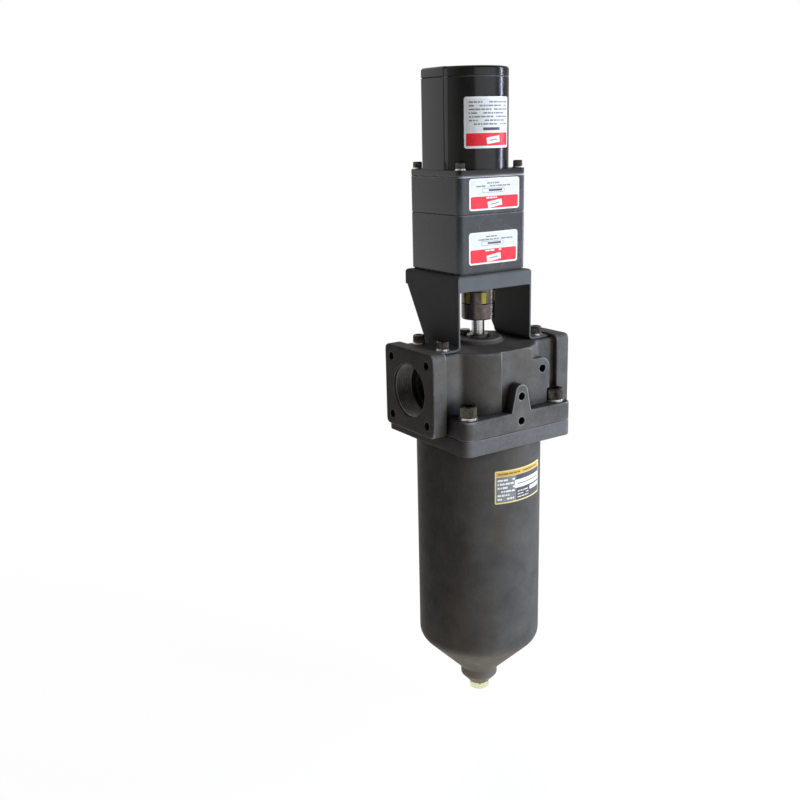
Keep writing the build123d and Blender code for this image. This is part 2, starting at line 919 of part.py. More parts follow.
def bracket_leg(side):
    """Leg and outward foot, bent from one strip."""
    half = bracket_width / 2
    inner = half - plate_thick
    section = make_face(Polyline(
        (inner, case_low - lip_high),
        (half, case_low - lip_high),
        (half, foot_top),
        (foot_reach, foot_top),
        (foot_reach, neck_top),
        (inner, neck_top),
        close=True,
    ))
    inner_bend = [v for v in section.vertices() if abs(v.X - half) < 0.1 and abs(v.Y - foot_top) < 0.1]
    section = fillet(inner_bend, bend_inner)
    outer_bend = [v for v in section.vertices() if abs(v.X - inner) < 0.1 and abs(v.Y - neck_top) < 0.1]
    section = fillet(outer_bend, bend_outer)
    strip = Pos(0, bracket_back, 0) * extrude(Plane.XZ * section, bracket_back - bracket_front)
    leg = strip & leg_side()
    if side < 0:
        leg = mirror(leg, Plane.YZ)
    return leg


def motor_bracket():
    bracket = bracket_tray() + bracket_leg(-1) + bracket_leg(1)
    bracket -= rod(pilot_diameter / 2 + slip, plate_low, case_low)
    for x, y in case_screw_places:
        bracket -= rod(case_screw / 2 + bolt_play, plate_low, case_low, x, y)
    for x, y in foot_bolt_places:
        bracket -= rod(foot_bolt / 2 + bolt_play, neck_top, foot_top, x, y)
    return bracket


def bracket_bolts():
    seat_z = foot_top + foot_washer_thick
    end = seat_z - foot_bolt_length
    return group(
        socket_screw(foot_bolt, foot_bolt_head, foot_bolt_head_high, seat_z, end, x, y)
        for x, y in foot_bolt_places
    )


def bracket_washers():
    return group(
        pipe(foot_washer / 2, foot_bolt / 2 + bolt_play, foot_top, foot_top + foot_washer_thick, x, y)
        for x, y in foot_bolt_places
    )


# Jaw coupling

def leg_strips(wide):
    """Flat outline of the spider's legs, one every sixty degrees."""
    reach = coupling_diameter
    turns = [claw_turn + 360 * i / leg_count for i in range(leg_count)]
    strips = [Rot(0, 0, turn) * Pos(reach / 2, 0) * Rectangle(reach, wide) for turn in turns]
    legs = strips[0]
    for strip in strips[1:]:
        legs += strip
    return legs


def jaws(z_low, z_high, first):
    """Every second sector of the rim between the spider's legs."""
    rim = Circle(coupling_diameter / 2) - Circle(spider_core / 2 + leg_play)
    sectors = (rim - leg_strips(leg_wide + 2 * leg_play)).faces()
    sectors = sorted(sectors, key=lambda face: math.atan2(face.center().Y, face.center().X))
    claws = [Pos(0, 0, z_low) * extrude(face, z_high - z_low) for face in sectors[first::2]]
    return claws[0] + claws[1] + claws[2]


def hub(z_low, z_high, bore, jaw_low_end, jaw_high_end, first_jaw):
    body = rod(coupling_diameter / 2, z_low, z_high)
    far_face = body.faces().sort_by(Axis.Z)[0 if first_jaw == 0 else -1]
    body = chamfer(far_face.edges(), hub_chamfer)
    body += jaws(jaw_low_end, jaw_high_end, first_jaw)
    body -= rod(bore / 2 + seat, z_low, z_high)
    body -= key_slot(bore / 2, z_low, z_high)
    middle = (z_low + z_high) / 2
    return body - along_x(grub_screw / 2 + slip, 0, coupling_diameter, 0, middle)


def coupling_lower_hub():
    return hub(coupling_low, jaw_low, shaft_diameter, jaw_low, jaw_top, 0)


def coupling_upper_hub():
    return hub(upper_hub_low, upper_hub_top, output_diameter, jaw_low + jaw_end_gap, upper_hub_low, 1)


def coupling_spider():
    low = jaw_low + jaw_end_gap
    outline = Circle(spider_core / 2) + (leg_strips(leg_wide) & Circle(coupling_diameter / 2 - leg_sunk))
    outline -= Circle(spider_bore / 2)
    return Pos(0, 0, low) * extrude(outline, jaw_top - low)


def coupling_set_screws():
    screws = []
    for z_low, z_high, bore in (
        (coupling_low, jaw_low, shaft_diameter),
        (upper_hub_low, upper_hub_top, output_diameter),
    ):
        middle = (z_low + z_high) / 2
        outer = coupling_diameter / 2 - grub_sunk
        screws.append(along_x(grub_screw / 2, bore / 2 + seat, outer, 0, middle))
    return group(screws)


nodes = {
    "motor_housing": motor_housing,
    "motor_end_cover": motor_end_cover,
    "motor_flange": motor_flange,
    "motor_screws": motor_screws,
    "motor_head_washers": motor_head_washers,
    "motor_screw_washers": motor_screw_washers,
    "motor_screw_nuts": motor_screw_nuts,
    "extra_gearhead_case": extra_gearhead_case,
    "gearhead_case": gearhead_case,
    "output_shaft": output_shaft,
    "output_shaft_key": output_shaft_key,
    "output_bearing_outer": output_bearing_outer,
    "output_bearing_inner": output_bearing_inner,
    "output_bearing_balls": output_bearing_balls,
    "output_oil_seal": output_oil_seal,
    "motor_bracket": motor_bracket,
    "bracket_bolts": bracket_bolts,
    "bracket_washers": bracket_washers,
    "coupling_upper_hub": coupling_upper_hub,
    "coupling_spider": coupling_spider,
    "coupling_lower_hub": coupling_lower_hub,
    "coupling_set_screws": coupling_set_screws,
    "head_casting": head_casting,
    "shaft_bush": shaft_bush,
    "shaft_seals": shaft_seals,
    "shaft_gland": shaft_gland,
    "vent_screw": vent_screw,
    "head_o_ring": head_o_ring,
    "head_bolts": head_bolts,
    "head_bolt_washers": head_bolt_washers,
    "bowl": bowl,
    "drain_plug": drain_plug,
    "drain_seal": drain_seal,
    "drive_shaft": drive_shaft,
    "drive_shaft_key": drive_shaft_key,
    "element_top_cap": element_top_cap,
    "element_neck_seal": element_neck_seal,
    "element_wires": element_wires,
    "element_rods": element_rods,
    "element_bottom_cap": element_bottom_cap,
    "element_washer": element_washer,
    "element_nut": element_nut,
    "tie_rods": tie_rods,
    "bottom_carrier": bottom_carrier,
    "foot_bush": foot_bush,
    "tie_washers": tie_washers,
    "tie_nuts": tie_nuts,
    "scraper_holder": scraper_holder,
    "scraper_blade": scraper_blade,
    "scraper_screws": scraper_screws,
}

for name, make in nodes.items():
    export_step(Pos(port_reach, 0, 0) * make(), f"parts/{name}.step")
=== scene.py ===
import bpy
import bmesh
import json
import math
from mathutils import Matrix, Vector


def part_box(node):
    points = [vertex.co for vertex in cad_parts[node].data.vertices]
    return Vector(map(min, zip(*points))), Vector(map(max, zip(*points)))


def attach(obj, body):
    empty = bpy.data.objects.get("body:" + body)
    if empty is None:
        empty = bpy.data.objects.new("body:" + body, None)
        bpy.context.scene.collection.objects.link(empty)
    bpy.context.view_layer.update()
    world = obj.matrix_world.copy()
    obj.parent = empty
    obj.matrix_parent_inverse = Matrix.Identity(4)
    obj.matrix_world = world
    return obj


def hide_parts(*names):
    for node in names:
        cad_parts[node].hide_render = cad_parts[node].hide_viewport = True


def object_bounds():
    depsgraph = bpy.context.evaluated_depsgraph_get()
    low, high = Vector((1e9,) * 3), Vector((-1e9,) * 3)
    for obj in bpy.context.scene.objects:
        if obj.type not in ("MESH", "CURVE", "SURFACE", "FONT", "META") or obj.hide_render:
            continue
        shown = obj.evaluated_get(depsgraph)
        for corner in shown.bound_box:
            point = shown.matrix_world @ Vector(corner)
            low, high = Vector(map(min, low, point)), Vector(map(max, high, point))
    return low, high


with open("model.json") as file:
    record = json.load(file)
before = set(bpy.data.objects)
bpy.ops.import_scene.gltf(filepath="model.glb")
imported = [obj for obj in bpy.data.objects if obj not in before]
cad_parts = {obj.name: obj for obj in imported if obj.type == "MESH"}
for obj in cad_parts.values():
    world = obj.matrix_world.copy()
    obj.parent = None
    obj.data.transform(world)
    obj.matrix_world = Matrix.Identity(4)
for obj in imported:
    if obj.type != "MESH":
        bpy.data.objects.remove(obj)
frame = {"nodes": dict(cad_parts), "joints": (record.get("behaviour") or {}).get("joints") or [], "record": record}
nodes = frame["nodes"]
record = frame["record"]
cadLow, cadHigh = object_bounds()
print("frame loaded:", len(nodes), "nodes")

mm = 0.001
axisX = [j for j in frame["joints"] if j["name"] == "rotor_spin"][0]["pos_m"][0]  # the filter's upright axis
slotOf = {part["node"]: part["material_slot"] for part in record["subparts"]}
bodyOf = {node: body for body, members in record["behaviour"]["bodies"].items() for node in members}


def boxOf(node):
    # a node's box in millimetres about the filter's axis
    low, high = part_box(node)
    shift = Vector((axisX, 0, 0))
    return (low - shift) / mm, (high - shift) / mm


# Colours and nodes

def hexColor(code):
    # sRGB hex to the linear colour that shaders take
    parts = [int(code[i:i + 2], 16) / 255 for i in (1, 3, 5)]
    linear = [c / 12.92 if c <= 0.04045 else ((c + 0.055) / 1.055) ** 2.4 for c in parts]
    return (*linear, 1.0)


def addNode(tree, kind, settings=None, links=None):
    node = tree.nodes.new(kind)
    for key, value in (settings or {}).items():
        if isinstance(key, int) or key in node.inputs:
            node.inputs[key].default_value = value
        else:
            setattr(node, key, value)
    for key, source in (links or {}).items():
        tree.links.new(source, node.inputs[key])
    return node


def newMaterial(name, **shaderValues):
    material = bpy.data.materials.new(name)
    material.use_nodes = True
    tree = material.node_tree
    tree.nodes.clear()
    shader = addNode(tree, "ShaderNodeBsdfPrincipled", shaderValues)
    addNode(tree, "ShaderNodeOutputMaterial", links={"Surface": shader.outputs["BSDF"]})
    coords = addNode(tree, "ShaderNodeTexCoord").outputs["Object"]
    return material, tree, shader, coords


def stretched(tree, coords, sizes):
    # coordinates scaled so that one pattern cell measures sizes, in millimetres
    scale = [1 / (size * mm) for size in sizes]
    return addNode(tree, "ShaderNodeMapping", {"Scale": scale}, {"Vector": coords}).outputs["Vector"]


def noise(tree, coords, cell, detail=3.0, rough=0.55):
    sizes = cell if isinstance(cell, tuple) else (cell, cell, cell)
    where = stretched(tree, coords, sizes)
    return addNode(tree, "ShaderNodeTexNoise", {"Scale": 1.0, "Detail": detail, "Roughness": rough},
                   {"Vector": where}).outputs["Fac"]


def ramp(tree, value, stops):
    # colour ramp from (position, hex or grey) stops
    node = addNode(tree, "ShaderNodeValToRGB", links={"Fac": value})
    while len(node.color_ramp.elements) < len(stops):
        node.color_ramp.elements.new(0.5)
    for element, (place, colour) in zip(node.color_ramp.elements, stops):
        element.position = place
        element.color = hexColor(colour) if isinstance(colour, str) else (colour, colour, colour, 1)
    return node.outputs["Color"]


def spread(tree, value, low, high):
    # noise around its middle, spread over a range of roughness
    return addNode(tree, "ShaderNodeMapRange", {"From Min": 0.3, "From Max": 0.7, "To Min": low, "To Max": high},
                   {"Value": value}).outputs["Result"]


def bump(tree, layers):
    # stacked bumps from (height, depth in millimetres) pairs
    normal = None
    for height, depth in layers:
        links = {"Height": height}
        if normal is not None:
            links["Normal"] = normal
        normal = addNode(tree, "ShaderNodeBump", {"Strength": 1.0, "Distance": depth * mm}, links).outputs["Normal"]
    return normal


# Finishes

# cell sizes in mm; grain is drawn coarser than foundry sand, about 0.25 mm, so that it shows; the edge and crease
# ranges are of pointiness, where lighter edges are partly wear and partly painted highlight and darker creases are
# painted shade, and the corner reach is how near a wall must be for painted shade to gather
castMarksAndPaintedLight = {"cloud": 30.0, "drift": (42.0, 42.0, 75.0), "grain": 0.7, "skin": 3.2, "edgeLight": (0.525, 0.56),
            "edgeLightMost": 0.75, "hollow": (0.42, 0.492), "stain": (0.46, 0.64), "stainMost": 0.55,
            "cornerShade": 22.0, "cornerShadeTone": (0.38, 0.9), "deepestShade": 0.2}


def castPaint(name, dark, light, earthy, edgeLightPaint, shine, grain=castMarksAndPaintedLight["grain"]):
    # brushed machine enamel over a sand casting: matt skin, sandy grit, rusty stains, painted shade in the creases
    # and corners, and lighter edges that are partly wear and partly painted highlight
    material, tree, shader, coords = newMaterial(name, **{"IOR": 1.48, "Metallic": 0.0, "Specular IOR Level": shine})
    cloud = noise(tree, coords, castMarksAndPaintedLight["cloud"], 5.0, 0.6)
    drift = noise(tree, coords, castMarksAndPaintedLight["drift"], 4.0, 0.6)
    grit = noise(tree, coords, grain, 2.0, 0.6)
    skin = noise(tree, coords, castMarksAndPaintedLight["skin"], 3.0)
    mixed = addNode(tree, "ShaderNodeMath", {"operation": "MULTIPLY_ADD", 1: 0.55},
                    {0: grit, 2: cloud}).outputs["Value"]
    colour = ramp(tree, mixed, [(0.55, dark), (1.0, light)])
    stain = ramp(tree, drift, [(castMarksAndPaintedLight["stain"][0], 0.0), (castMarksAndPaintedLight["stain"][1], castMarksAndPaintedLight["stainMost"])])
    stained = addNode(tree, "ShaderNodeMix", {"data_type": "RGBA", 7: hexColor(earthy)}, {0: stain, 6: colour})
    edge = addNode(tree, "ShaderNodeNewGeometry").outputs["Pointiness"]
    ragged = addNode(tree, "ShaderNodeMath", {"operation": "MULTIPLY_ADD", 1: 0.03},
                     {0: skin, 2: edge}).outputs["Value"]
    # lighter edges from pointiness: partly paint worn off, partly a painted highlight
    edgeLight = ramp(tree, ragged, [(castMarksAndPaintedLight["edgeLight"][0], 0.0), (castMarksAndPaintedLight["edgeLight"][1], castMarksAndPaintedLight["edgeLightMost"])])
    paintedEdgeLight = addNode(tree, "ShaderNodeMix", {"data_type": "RGBA", 7: hexColor(edgeLightPaint)},
                     {0: edgeLight, 6: stained.outputs[2]})
    # painted shade: concave creases are darkened
    hollow = ramp(tree, edge, [(castMarksAndPaintedLight["hollow"][0], castMarksAndPaintedLight["deepestShade"]), (castMarksAndPaintedLight["hollow"][1], 1.0)])
    creaseShaded = addNode(tree, "ShaderNodeMix", {"data_type": "RGBA", "blend_type": "MULTIPLY", 0: 1.0},
                    {6: paintedEdgeLight.outputs[2], 7: hollow})
    # painted shade: surfaces near other walls are darkened by ambient occlusion
    cornerShade = addNode(tree, "ShaderNodeAmbientOcclusion",
                   {"samples": 8, "Distance": castMarksAndPaintedLight["cornerShade"] * mm}).outputs["AO"]
    cornerShadeTone = ramp(tree, cornerShade, [(castMarksAndPaintedLight["cornerShadeTone"][0], castMarksAndPaintedLight["deepestShade"]), (castMarksAndPaintedLight["cornerShadeTone"][1], 1.0)])
    painted = addNode(tree, "ShaderNodeMix", {"data_type": "RGBA", "blend_type": "MULTIPLY", 0: 1.0},
                      {6: creaseShaded.outputs[2], 7: cornerShadeTone})
    tree.links.new(painted.outputs[2], shader.inputs["Base Color"])
    tree.links.new(spread(tree, skin, 0.50, 0.66), shader.inputs["Roughness"])
    tree.links.new(bump(tree, [(skin, 0.14), (grit, 0.06)]), shader.inputs["Normal"])
    return material


def stovedPaint(name, dark, light, roughLow, roughHigh, shine=0.5):
    # stoved acrylic on metal: smooth, semi-gloss, faint orange peel of its real width
    material, tree, shader, coords = newMaterial(name, **{"IOR": 1.5, "Metallic": 0.0, "Specular IOR Level": shine})
    cloud = noise(tree, coords, 26.0, 3.0)
    peel = noise(tree, coords, 1.6, 1.0)
    tree.links.new(ramp(tree, cloud, [(0.3, dark), (0.7, light)]), shader.inputs["Base Color"])
    tree.links.new(spread(tree, cloud, roughLow, roughHigh), shader.inputs["Roughness"])
    tree.links.new(bump(tree, [(peel, 0.012)]), shader.inputs["Normal"])
    return material


def turnedMetal(name, dark, light, roughLow, roughHigh, grooveMm=0.35):
    # lathe-turned metal: fine rings round the axis, which streak the highlights; the rings are drawn
    # coarser than a real feed of about 0.1 mm, so that they show
    material, tree, shader, coords = newMaterial(name, **{"Metallic": 1.0})
    rings = noise(tree, coords, (60.0, 60.0, grooveMm), 2.0)
    stain = noise(tree, coords, 7.0, 4.0)
    tree.links.new(ramp(tree, stain, [(0.3, dark), (0.7, light)]), shader.inputs["Base Color"])
    tree.links.new(spread(tree, rings, roughLow, roughHigh), shader.inputs["Roughness"])
    tree.links.new(bump(tree, [(rings, 0.02)]), shader.inputs["Normal"])
    return material


def platedSteel(name, dark, light, roughLow, roughHigh):
    # zinc plate or black oxide on pressed and rolled steel: cloudy, with tiny handling marks
    material, tree, shader, coords = newMaterial(name, **{"Metallic": 1.0})
    cloud = noise(tree, coords, 2.5, 4.0)
    marks = noise(tree, coords, (0.5, 0.5, 3.0), 2.0)
    tree.links.new(ramp(tree, cloud, [(0.3, dark), (0.7, light)]), shader.inputs["Base Color"])
    tree.links.new(spread(tree, cloud, roughLow, roughHigh), shader.inputs["Roughness"])
    tree.links.new(bump(tree, [(marks, 0.012)]), shader.inputs["Normal"])
    return material


def mouldedPolymer(name, dark, light, roughLow, roughHigh, grain=0.6):
    # moulded rubber or plastic: even colour with a fine tooled skin, drawn coarser than its real 0.1 mm
    material, tree, shader, coords = newMaterial(name, **{"IOR": 1.5, "Metallic": 0.0})
    cloud = noise(tree, coords, 6.0, 3.0)
    skin = noise(tree, coords, grain, 2.0)
    tree.links.new(ramp(tree, cloud, [(0.3, dark), (0.7, light)]), shader.inputs["Base Color"])
    tree.links.new(spread(tree, cloud, roughLow, roughHigh), shader.inputs["Roughness"])
    tree.links.new(bump(tree, [(skin, 0.015)]), shader.inputs["Normal"])
    return material


def printedFilm(name, dark, light, rough=0.36):
    # screen-printed polyester label: flat ink under a satin film
    material, tree, shader, coords = newMaterial(name, **{"IOR": 1.5, "Metallic": 0.0, "Roughness": rough,
                                                          "Specular IOR Level": 0.3})
    cloud = noise(tree, coords, 5.0, 2.0)
    film = noise(tree, coords, 0.8, 1.0)
    tree.links.new(ramp(tree, cloud, [(0.3, dark), (0.7, light)]), shader.inputs["Base Color"])
    tree.links.new(bump(tree, [(film, 0.004)]), shader.inputs["Normal"])
    return material


finishes = {
    "cast_iron_paint": castPaint("machineEnamelOnCastIron", "#4d4c4b", "#767472", "#645d52", "#b0afb1", 0.10),
    "bowl_paint": castPaint("machineEnamelOnBowl", "#4f4e4c", "#686664", "#5b564e", "#858488", 0.06),
    "motor_paint": stovedPaint("stovedPaintMotor", "#191715", "#211f1d", 0.16, 0.25, 0.5),
    "gearhead_paint": stovedPaint("stovedPaintGearhead", "#3f4041", "#474849", 0.22, 0.32, 0.45),
    "bracket_paint": stovedPaint("stovedPaintBracket", "#626464", "#6b6d6e", 0.48, 0.60, 0.12),
    "black_steel": platedSteel("blackOxideSteel", "#3b3834", "#6b665f", 0.26, 0.44),
    "zinc_steel": platedSteel("zincPlatedSteel", "#c9c8c2", "#efede6", 0.20, 0.38),
    "bright_steel": turnedMetal("groundSteelShaft", "#a5a4a0", "#c6c5c1", 0.16, 0.30),
    "coupling_steel": turnedMetal("phosphatedSinteredHub", "#4a4240", "#6d6461", 0.24, 0.36),
    "yellow_polyurethane": mouldedPolymer("polyurethaneSpider", "#8d8220", "#b5a830", 0.36, 0.48),
    "bronze": turnedMetal("bearingBronze", "#8c6a3c", "#a8854e", 0.28, 0.42),
    "brass_gland": turnedMetal("dulledBrassGland", "#7b7262", "#98907e", 0.28, 0.42),
    "black_rubber": mouldedPolymer("nitrileRubber", "#161616", "#1f1f1f", 0.5, 0.65),
    "copper_seal": turnedMetal("dulledCopper", "#80694a", "#a08a66", 0.3, 0.42),
    "ptfe": mouldedPolymer("turnedPtfe", "#dedcd4", "#ebe9e2", 0.4, 0.5),
    "stainless": turnedMetal("drawnStainless", "#a9a9a6", "#c6c6c3", 0.24, 0.38),
    "cast_aluminium": platedSteel("dieCastAluminium", "#a3a4a5", "#bdbebf", 0.34, 0.5),
    "carrier_iron": castPaint("greyIronCarrier", "#4f4e4d", "#62605e", "#5c554c", "#83807c", 0.2, 0.8),
    "blade_steel": platedSteel("hardenedStrip", "#9c9da0", "#b9babd", 0.22, 0.34),
}
extraFinishes = {
    # lighter copies of the paints, put on bevelled rims as painted highlights
    "motorRimPaintedHighlight": stovedPaint("motorRimPaintedHighlight", "#69686b", "#8b8a90", 0.30, 0.42),
    "gearRimPaintedHighlight": stovedPaint("gearRimPaintedHighlight", "#a3a3a8", "#d0d0d4", 0.34, 0.46),
    "bowlRimPaintedHighlight": castPaint("bowlRimPaintedHighlight", "#838184", "#9b9a9c", "#8a857c", "#a9a8aa", 0.10),
    "machinedIron": turnedMetal("machinedCastIron", "#4c4a47", "#65625e", 0.34, 0.5, 0.5),
    "yellowZinc": platedSteel("yellowPassivatedZinc", "#cfd2a6", "#f0f1d2", 0.16, 0.30),
    "dullZinc": platedSteel("dulledZincVent", "#5f5c57", "#8d8982", 0.26, 0.42),
}
for node, slotName in slotOf.items():
    nodes[node].data.materials.clear()
    nodes[node].data.materials.append(finishes[slotName])
nodes["vent_screw"].data.materials[0] = extraFinishes["dullZinc"]
print("finishes ready:", len(finishes) + len(extraFinishes))


# Mesh making

def rounded(points, radii, steps=6):
    # closed outline with its corners rounded; radii holds one radius a corner
    out = []
    count = len(points)
    for i, point in enumerate(points):
        here = Vector(point)
        before = (Vector(points[i - 1]) - here).normalized()
        after = (Vector(points[(i + 1) % count]) - here).normalized()
        turn = math.pi - before.angle(after)
        if radii[i] <= 0 or turn < 0.02:
            out.append(tuple(here))
            continue
        reach = radii[i] * math.tan(turn / 2)
        start = here + before * reach
        end = here + after * reach
        centre = here + (before + after).normalized() * (radii[i] / math.cos(turn / 2))
        first = start - centre
        last = end - centre
        sweep = first.angle_signed(last)
        for k in range(steps + 1):
            angle = -sweep * k / steps
            turned = Matrix.Rotation(angle, 2) @ first
            out.append(tuple(centre + turned))
    return out


def loft(bm, rings, loop=False):
    # skin over rings that all have the same number of points, closed at both ends or into a loop
    made = [[bm.verts.new(point) for point in ring] for ring in rings]
    count = len(made[0])
    pairs = list(zip(made, made[1:]))
    if loop:
        pairs.append((made[-1], made[0]))
    for low, high in pairs:
        for i in range(count):
            k = (i + 1) % count
            bm.faces.new((low[i], low[k], high[k], high[i]))
    if not loop:
        bm.faces.new(list(reversed(made[0])))
        bm.faces.new(made[-1])


def ringAt(radius, z, steps, x=0.0, y=0.0):
    # ring round an upright axis; radius is a number or a function of the angle
    points = []
    for i in range(steps):
        angle = 2 * math.pi * i / steps
        reach = radius(angle) if callable(radius) else radius
        across, deep = x + reach * math.cos(angle), y + reach * math.sin(angle)
        points.append(Vector((axisX + across * mm, deep * mm, z * mm)))
    return points


def spin(bm, profile, steps, x=0.0, y=0.0, loop=False):
    # profile is a list of (radius, z) in millimetres
    loft(bm, [ringAt(radius, z, steps, x, y) for radius, z in profile], loop=loop)


def hexRadius(across):
    # reach of a hexagon with its flats this far apart, by angle
    def radius(angle):
        part = angle % (math.pi / 3) - math.pi / 6
        return across / 2 / math.cos(part)
    return radius


def finishPiece(name, bm, material, node, smoothAngle=35.0, hide=True):
    # turns a bmesh into a piece that rides with a node, and stands for it where hide says so
    bmesh.ops.recalc_face_normals(bm, faces=bm.faces[:])
    mesh = bpy.data.meshes.new(name)
    bm.to_mesh(mesh)
    bm.free()
    standFor(name, mesh, material, node, smoothAngle, hide)


def standFor(name, mesh, material, node, smoothAngle=35.0, hide=True):
    piece = bpy.data.objects.new(name, mesh)
    bpy.context.scene.collection.objects.link(piece)
    mesh.polygons.foreach_set("use_smooth", [True] * len(mesh.polygons))
    mesh.set_sharp_from_angle(angle=math.radians(smoothAngle))
    materials = material if isinstance(material, list) else [material]
    for one in materials:
        mesh.materials.append(one)
    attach(piece, bodyOf[node])
    if hide:
        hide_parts(node)
    return piece


def outlineMesh(name, loops, low, high, edge, steps=2):
    # plate from closed outlines, the first outside and the rest holes, with rounded rims
    curve = bpy.data.curves.new(name + "Outline", "CURVE")
    curve.dimensions = "2D"
    curve.fill_mode = "BOTH"
    curve.extrude = ((high - low) / 2 - edge) * mm
    curve.bevel_depth = edge * mm
    curve.bevel_resolution = steps
    curve.offset = -edge * mm
    for loop in loops:
        spline = curve.splines.new("POLY")
        spline.points.add(len(loop) - 1)
        for point, (x, y) in zip(spline.points, loop):
            point.co = (x * mm, y * mm, 0, 1)
        spline.use_cyclic_u = True
    holder = bpy.data.objects.new(name + "Outline", curve)
    bpy.context.scene.collection.objects.link(holder)
    bpy.context.view_layer.update()
    graph = bpy.context.evaluated_depsgraph_get()
    mesh = bpy.data.meshes.new_from_object(holder.evaluated_get(graph))
    bpy.data.objects.remove(holder)
    bpy.data.curves.remove(curve)
    mesh.transform(Matrix.Translation((0, 0, (low + high) / 2 * mm)))
    mesh.transform(Matrix.Translation((axisX, 0, 0)))
    mesh.materials.clear()
    return mesh


def paintRimHighlights(mesh, least=0.25, most=0.97, side=0):
    # gives the bevelled rims the second material, a lighter paint that stands for a painted highlight; side 1 takes
    # upper rims alone, -1 lower ones
    for face in mesh.polygons:
        lean = face.normal.z * side if side else abs(face.normal.z)
        face.material_index = 1 if least < lean < most else 0


def castSkin(name, node, skin):
    # finely meshed copy of a node with the soft edges that a mould or a paint coat leaves
    holder = bpy.data.objects.new(name + "Raw", nodes[node].data.copy())
    bpy.context.scene.collection.objects.link(holder)
    holder.modifiers.new("weld", "WELD").merge_threshold = 0.001 * mm
    remesh = holder.modifiers.new("skin", "REMESH")
    remesh.mode = "VOXEL"
    remesh.voxel_size = skin["grid"] * mm
    soften = holder.modifiers.new("soften", "SMOOTH")
    soften.factor = 0.5
    soften.iterations = skin["passes"]
    holder.modifiers.new("thin", "DECIMATE").ratio = skin["keep"]
    bpy.context.view_layer.update()
    graph = bpy.context.evaluated_depsgraph_get()
    mesh = bpy.data.meshes.new_from_object(holder.evaluated_get(graph))
    bpy.data.objects.remove(holder)
    mesh.materials.clear()
    standFor(name, mesh, finishes[slotOf[node]], node, 60.0)


def circleLoop(radius, x=0.0, y=0.0, steps=48):
    return [(x + radius * math.cos(2 * math.pi * i / steps), y + radius * math.sin(2 * math.pi * i / steps))
            for i in range(steps)]


def squareLoop(half, corner, x=0.0, y=0.0, steps=8):
    points = [(x - half, y - half), (x + half, y - half), (x + half, y + half), (x - half, y + half)]
    return rounded(points, [corner] * 4, steps)


# Screws and washers

# small forms that all the socket cap heads share, in mm
headForm = {"steps": 96, "foot": 0.5, "knurlFoot": 0.9, "knurlTop": 1.6, "crownFoot": 1.2, "crownBend": (0.15, 0.7),
            "crown": 0.8, "socketLip": 1.0, "socketBreak": 0.4, "drillPoint": 0.6, "sunk": 0.3}


def capScrewHead(bm, head, x, y, seatZ):
    # socket cap head: knurled side, chamfered top, hexagon socket
    big = head["width"] / 2
    top = seatZ + head["high"]

    def knurl(angle):
        return big - head["knurlDeep"] * (0.5 + 0.5 * math.cos(head["knurls"] * angle))

    socket = hexRadius(head["socket"])
    levels = [
        (big - headForm["foot"], seatZ),
        (big, seatZ + headForm["foot"]),
        (knurl, seatZ + headForm["knurlFoot"]),
        (knurl, top - headForm["knurlTop"]),
        (big, top - headForm["crownFoot"]),
        (big - headForm["crownBend"][0], top - headForm["crownBend"][1]),
        (big - headForm["crown"], top),
        (head["socket"] / 2 + headForm["socketLip"], top),
        (socket, top - headForm["socketBreak"]),
        (socket, top - head["deep"]),
        (head["socket"] / 4, top - head["deep"] - headForm["drillPoint"]),
    ]
    loft(bm, [ringAt(radius, z, headForm["steps"], x, y) for radius, z in levels])


def capScrews(name, node, head, places, seatZ, endZ):
    bm = bmesh.new()
    for x, y in places:
        capScrewHead(bm, head, x, y, seatZ)
        spin(bm, [(head["thread"] / 2, endZ), (head["thread"] / 2, seatZ + headForm["sunk"])], 32, x, y)
    finishPiece(name, bm, finishes[slotOf[node]], node, 30.0)


def squarePlaces(half, y=0.0):
    # the four corners of a rectangle of screws
    return [(sx * half[0], y + sy * half[1]) for sx in (-1, 1) for sy in (-1, 1)]


def washers(name, node, size, places, low):
    # flat washer with a narrower spring washer on it
    bm = bmesh.new()
    rim, hole, thick = size["width"] / 2, size["hole"] / 2, size["thick"]
    flat, upper = size["flat"], size["upper"] / 2
    edge = size["edge"]
    profile = [(hole, low), (rim - edge, low), (rim, low + edge), (rim, low + flat - edge), (rim - edge, low + flat),
               (upper, low + flat), (upper, low + thick - edge), (upper - edge, low + thick), (hole, low + thick)]
    for x, y in places:
        spin(bm, profile, 64, x, y, loop=True)
    finishPiece(name, bm, finishes[slotOf[node]], node)


headBolt = {"width": 18.0, "high": 12.0, "thread": 12.0, "socket": 10.0, "deep": 6.0, "knurls": 48,
            "knurlDeep": 0.45, "place": 60.0}
headWasher = {"width": 21.1, "hole": 13.0, "thick": 2.5, "flat": 1.3, "upper": 18.6, "edge": 0.2}
washerBox = boxOf("head_bolt_washers")
boltBox = boxOf("head_bolts")
headPlaces = squarePlaces((headBolt["place"], headBolt["place"]))
capScrews("headBolts", "head_bolts", headBolt, headPlaces, washerBox[1].z, boltBox[0].z)
washers("headBoltWashers", "head_bolt_washers", headWasher, headPlaces, washerBox[0].z)

footBolt = {"width": 13.0, "high": 8.0, "thread": 8.0, "socket": 6.0, "deep": 4.0, "knurls": 38,
            "knurlDeep": 0.4, "place": (64.15, 22.0)}
footWasher = {"width": 14.8, "hole": 9.0, "thick": 2.0, "flat": 1.0, "upper": 13.2, "edge": 0.2}
footWasherBox = boxOf("bracket_washers")
footPlaces = squarePlaces(footBolt["place"])
capScrews("bracketBolts", "bracket_bolts", footBolt, footPlaces, footWasherBox[1].z, boxOf("bracket_bolts")[0].z)
washers("bracketWashers", "bracket_washers", footWasher, footPlaces, footWasherBox[0].z)

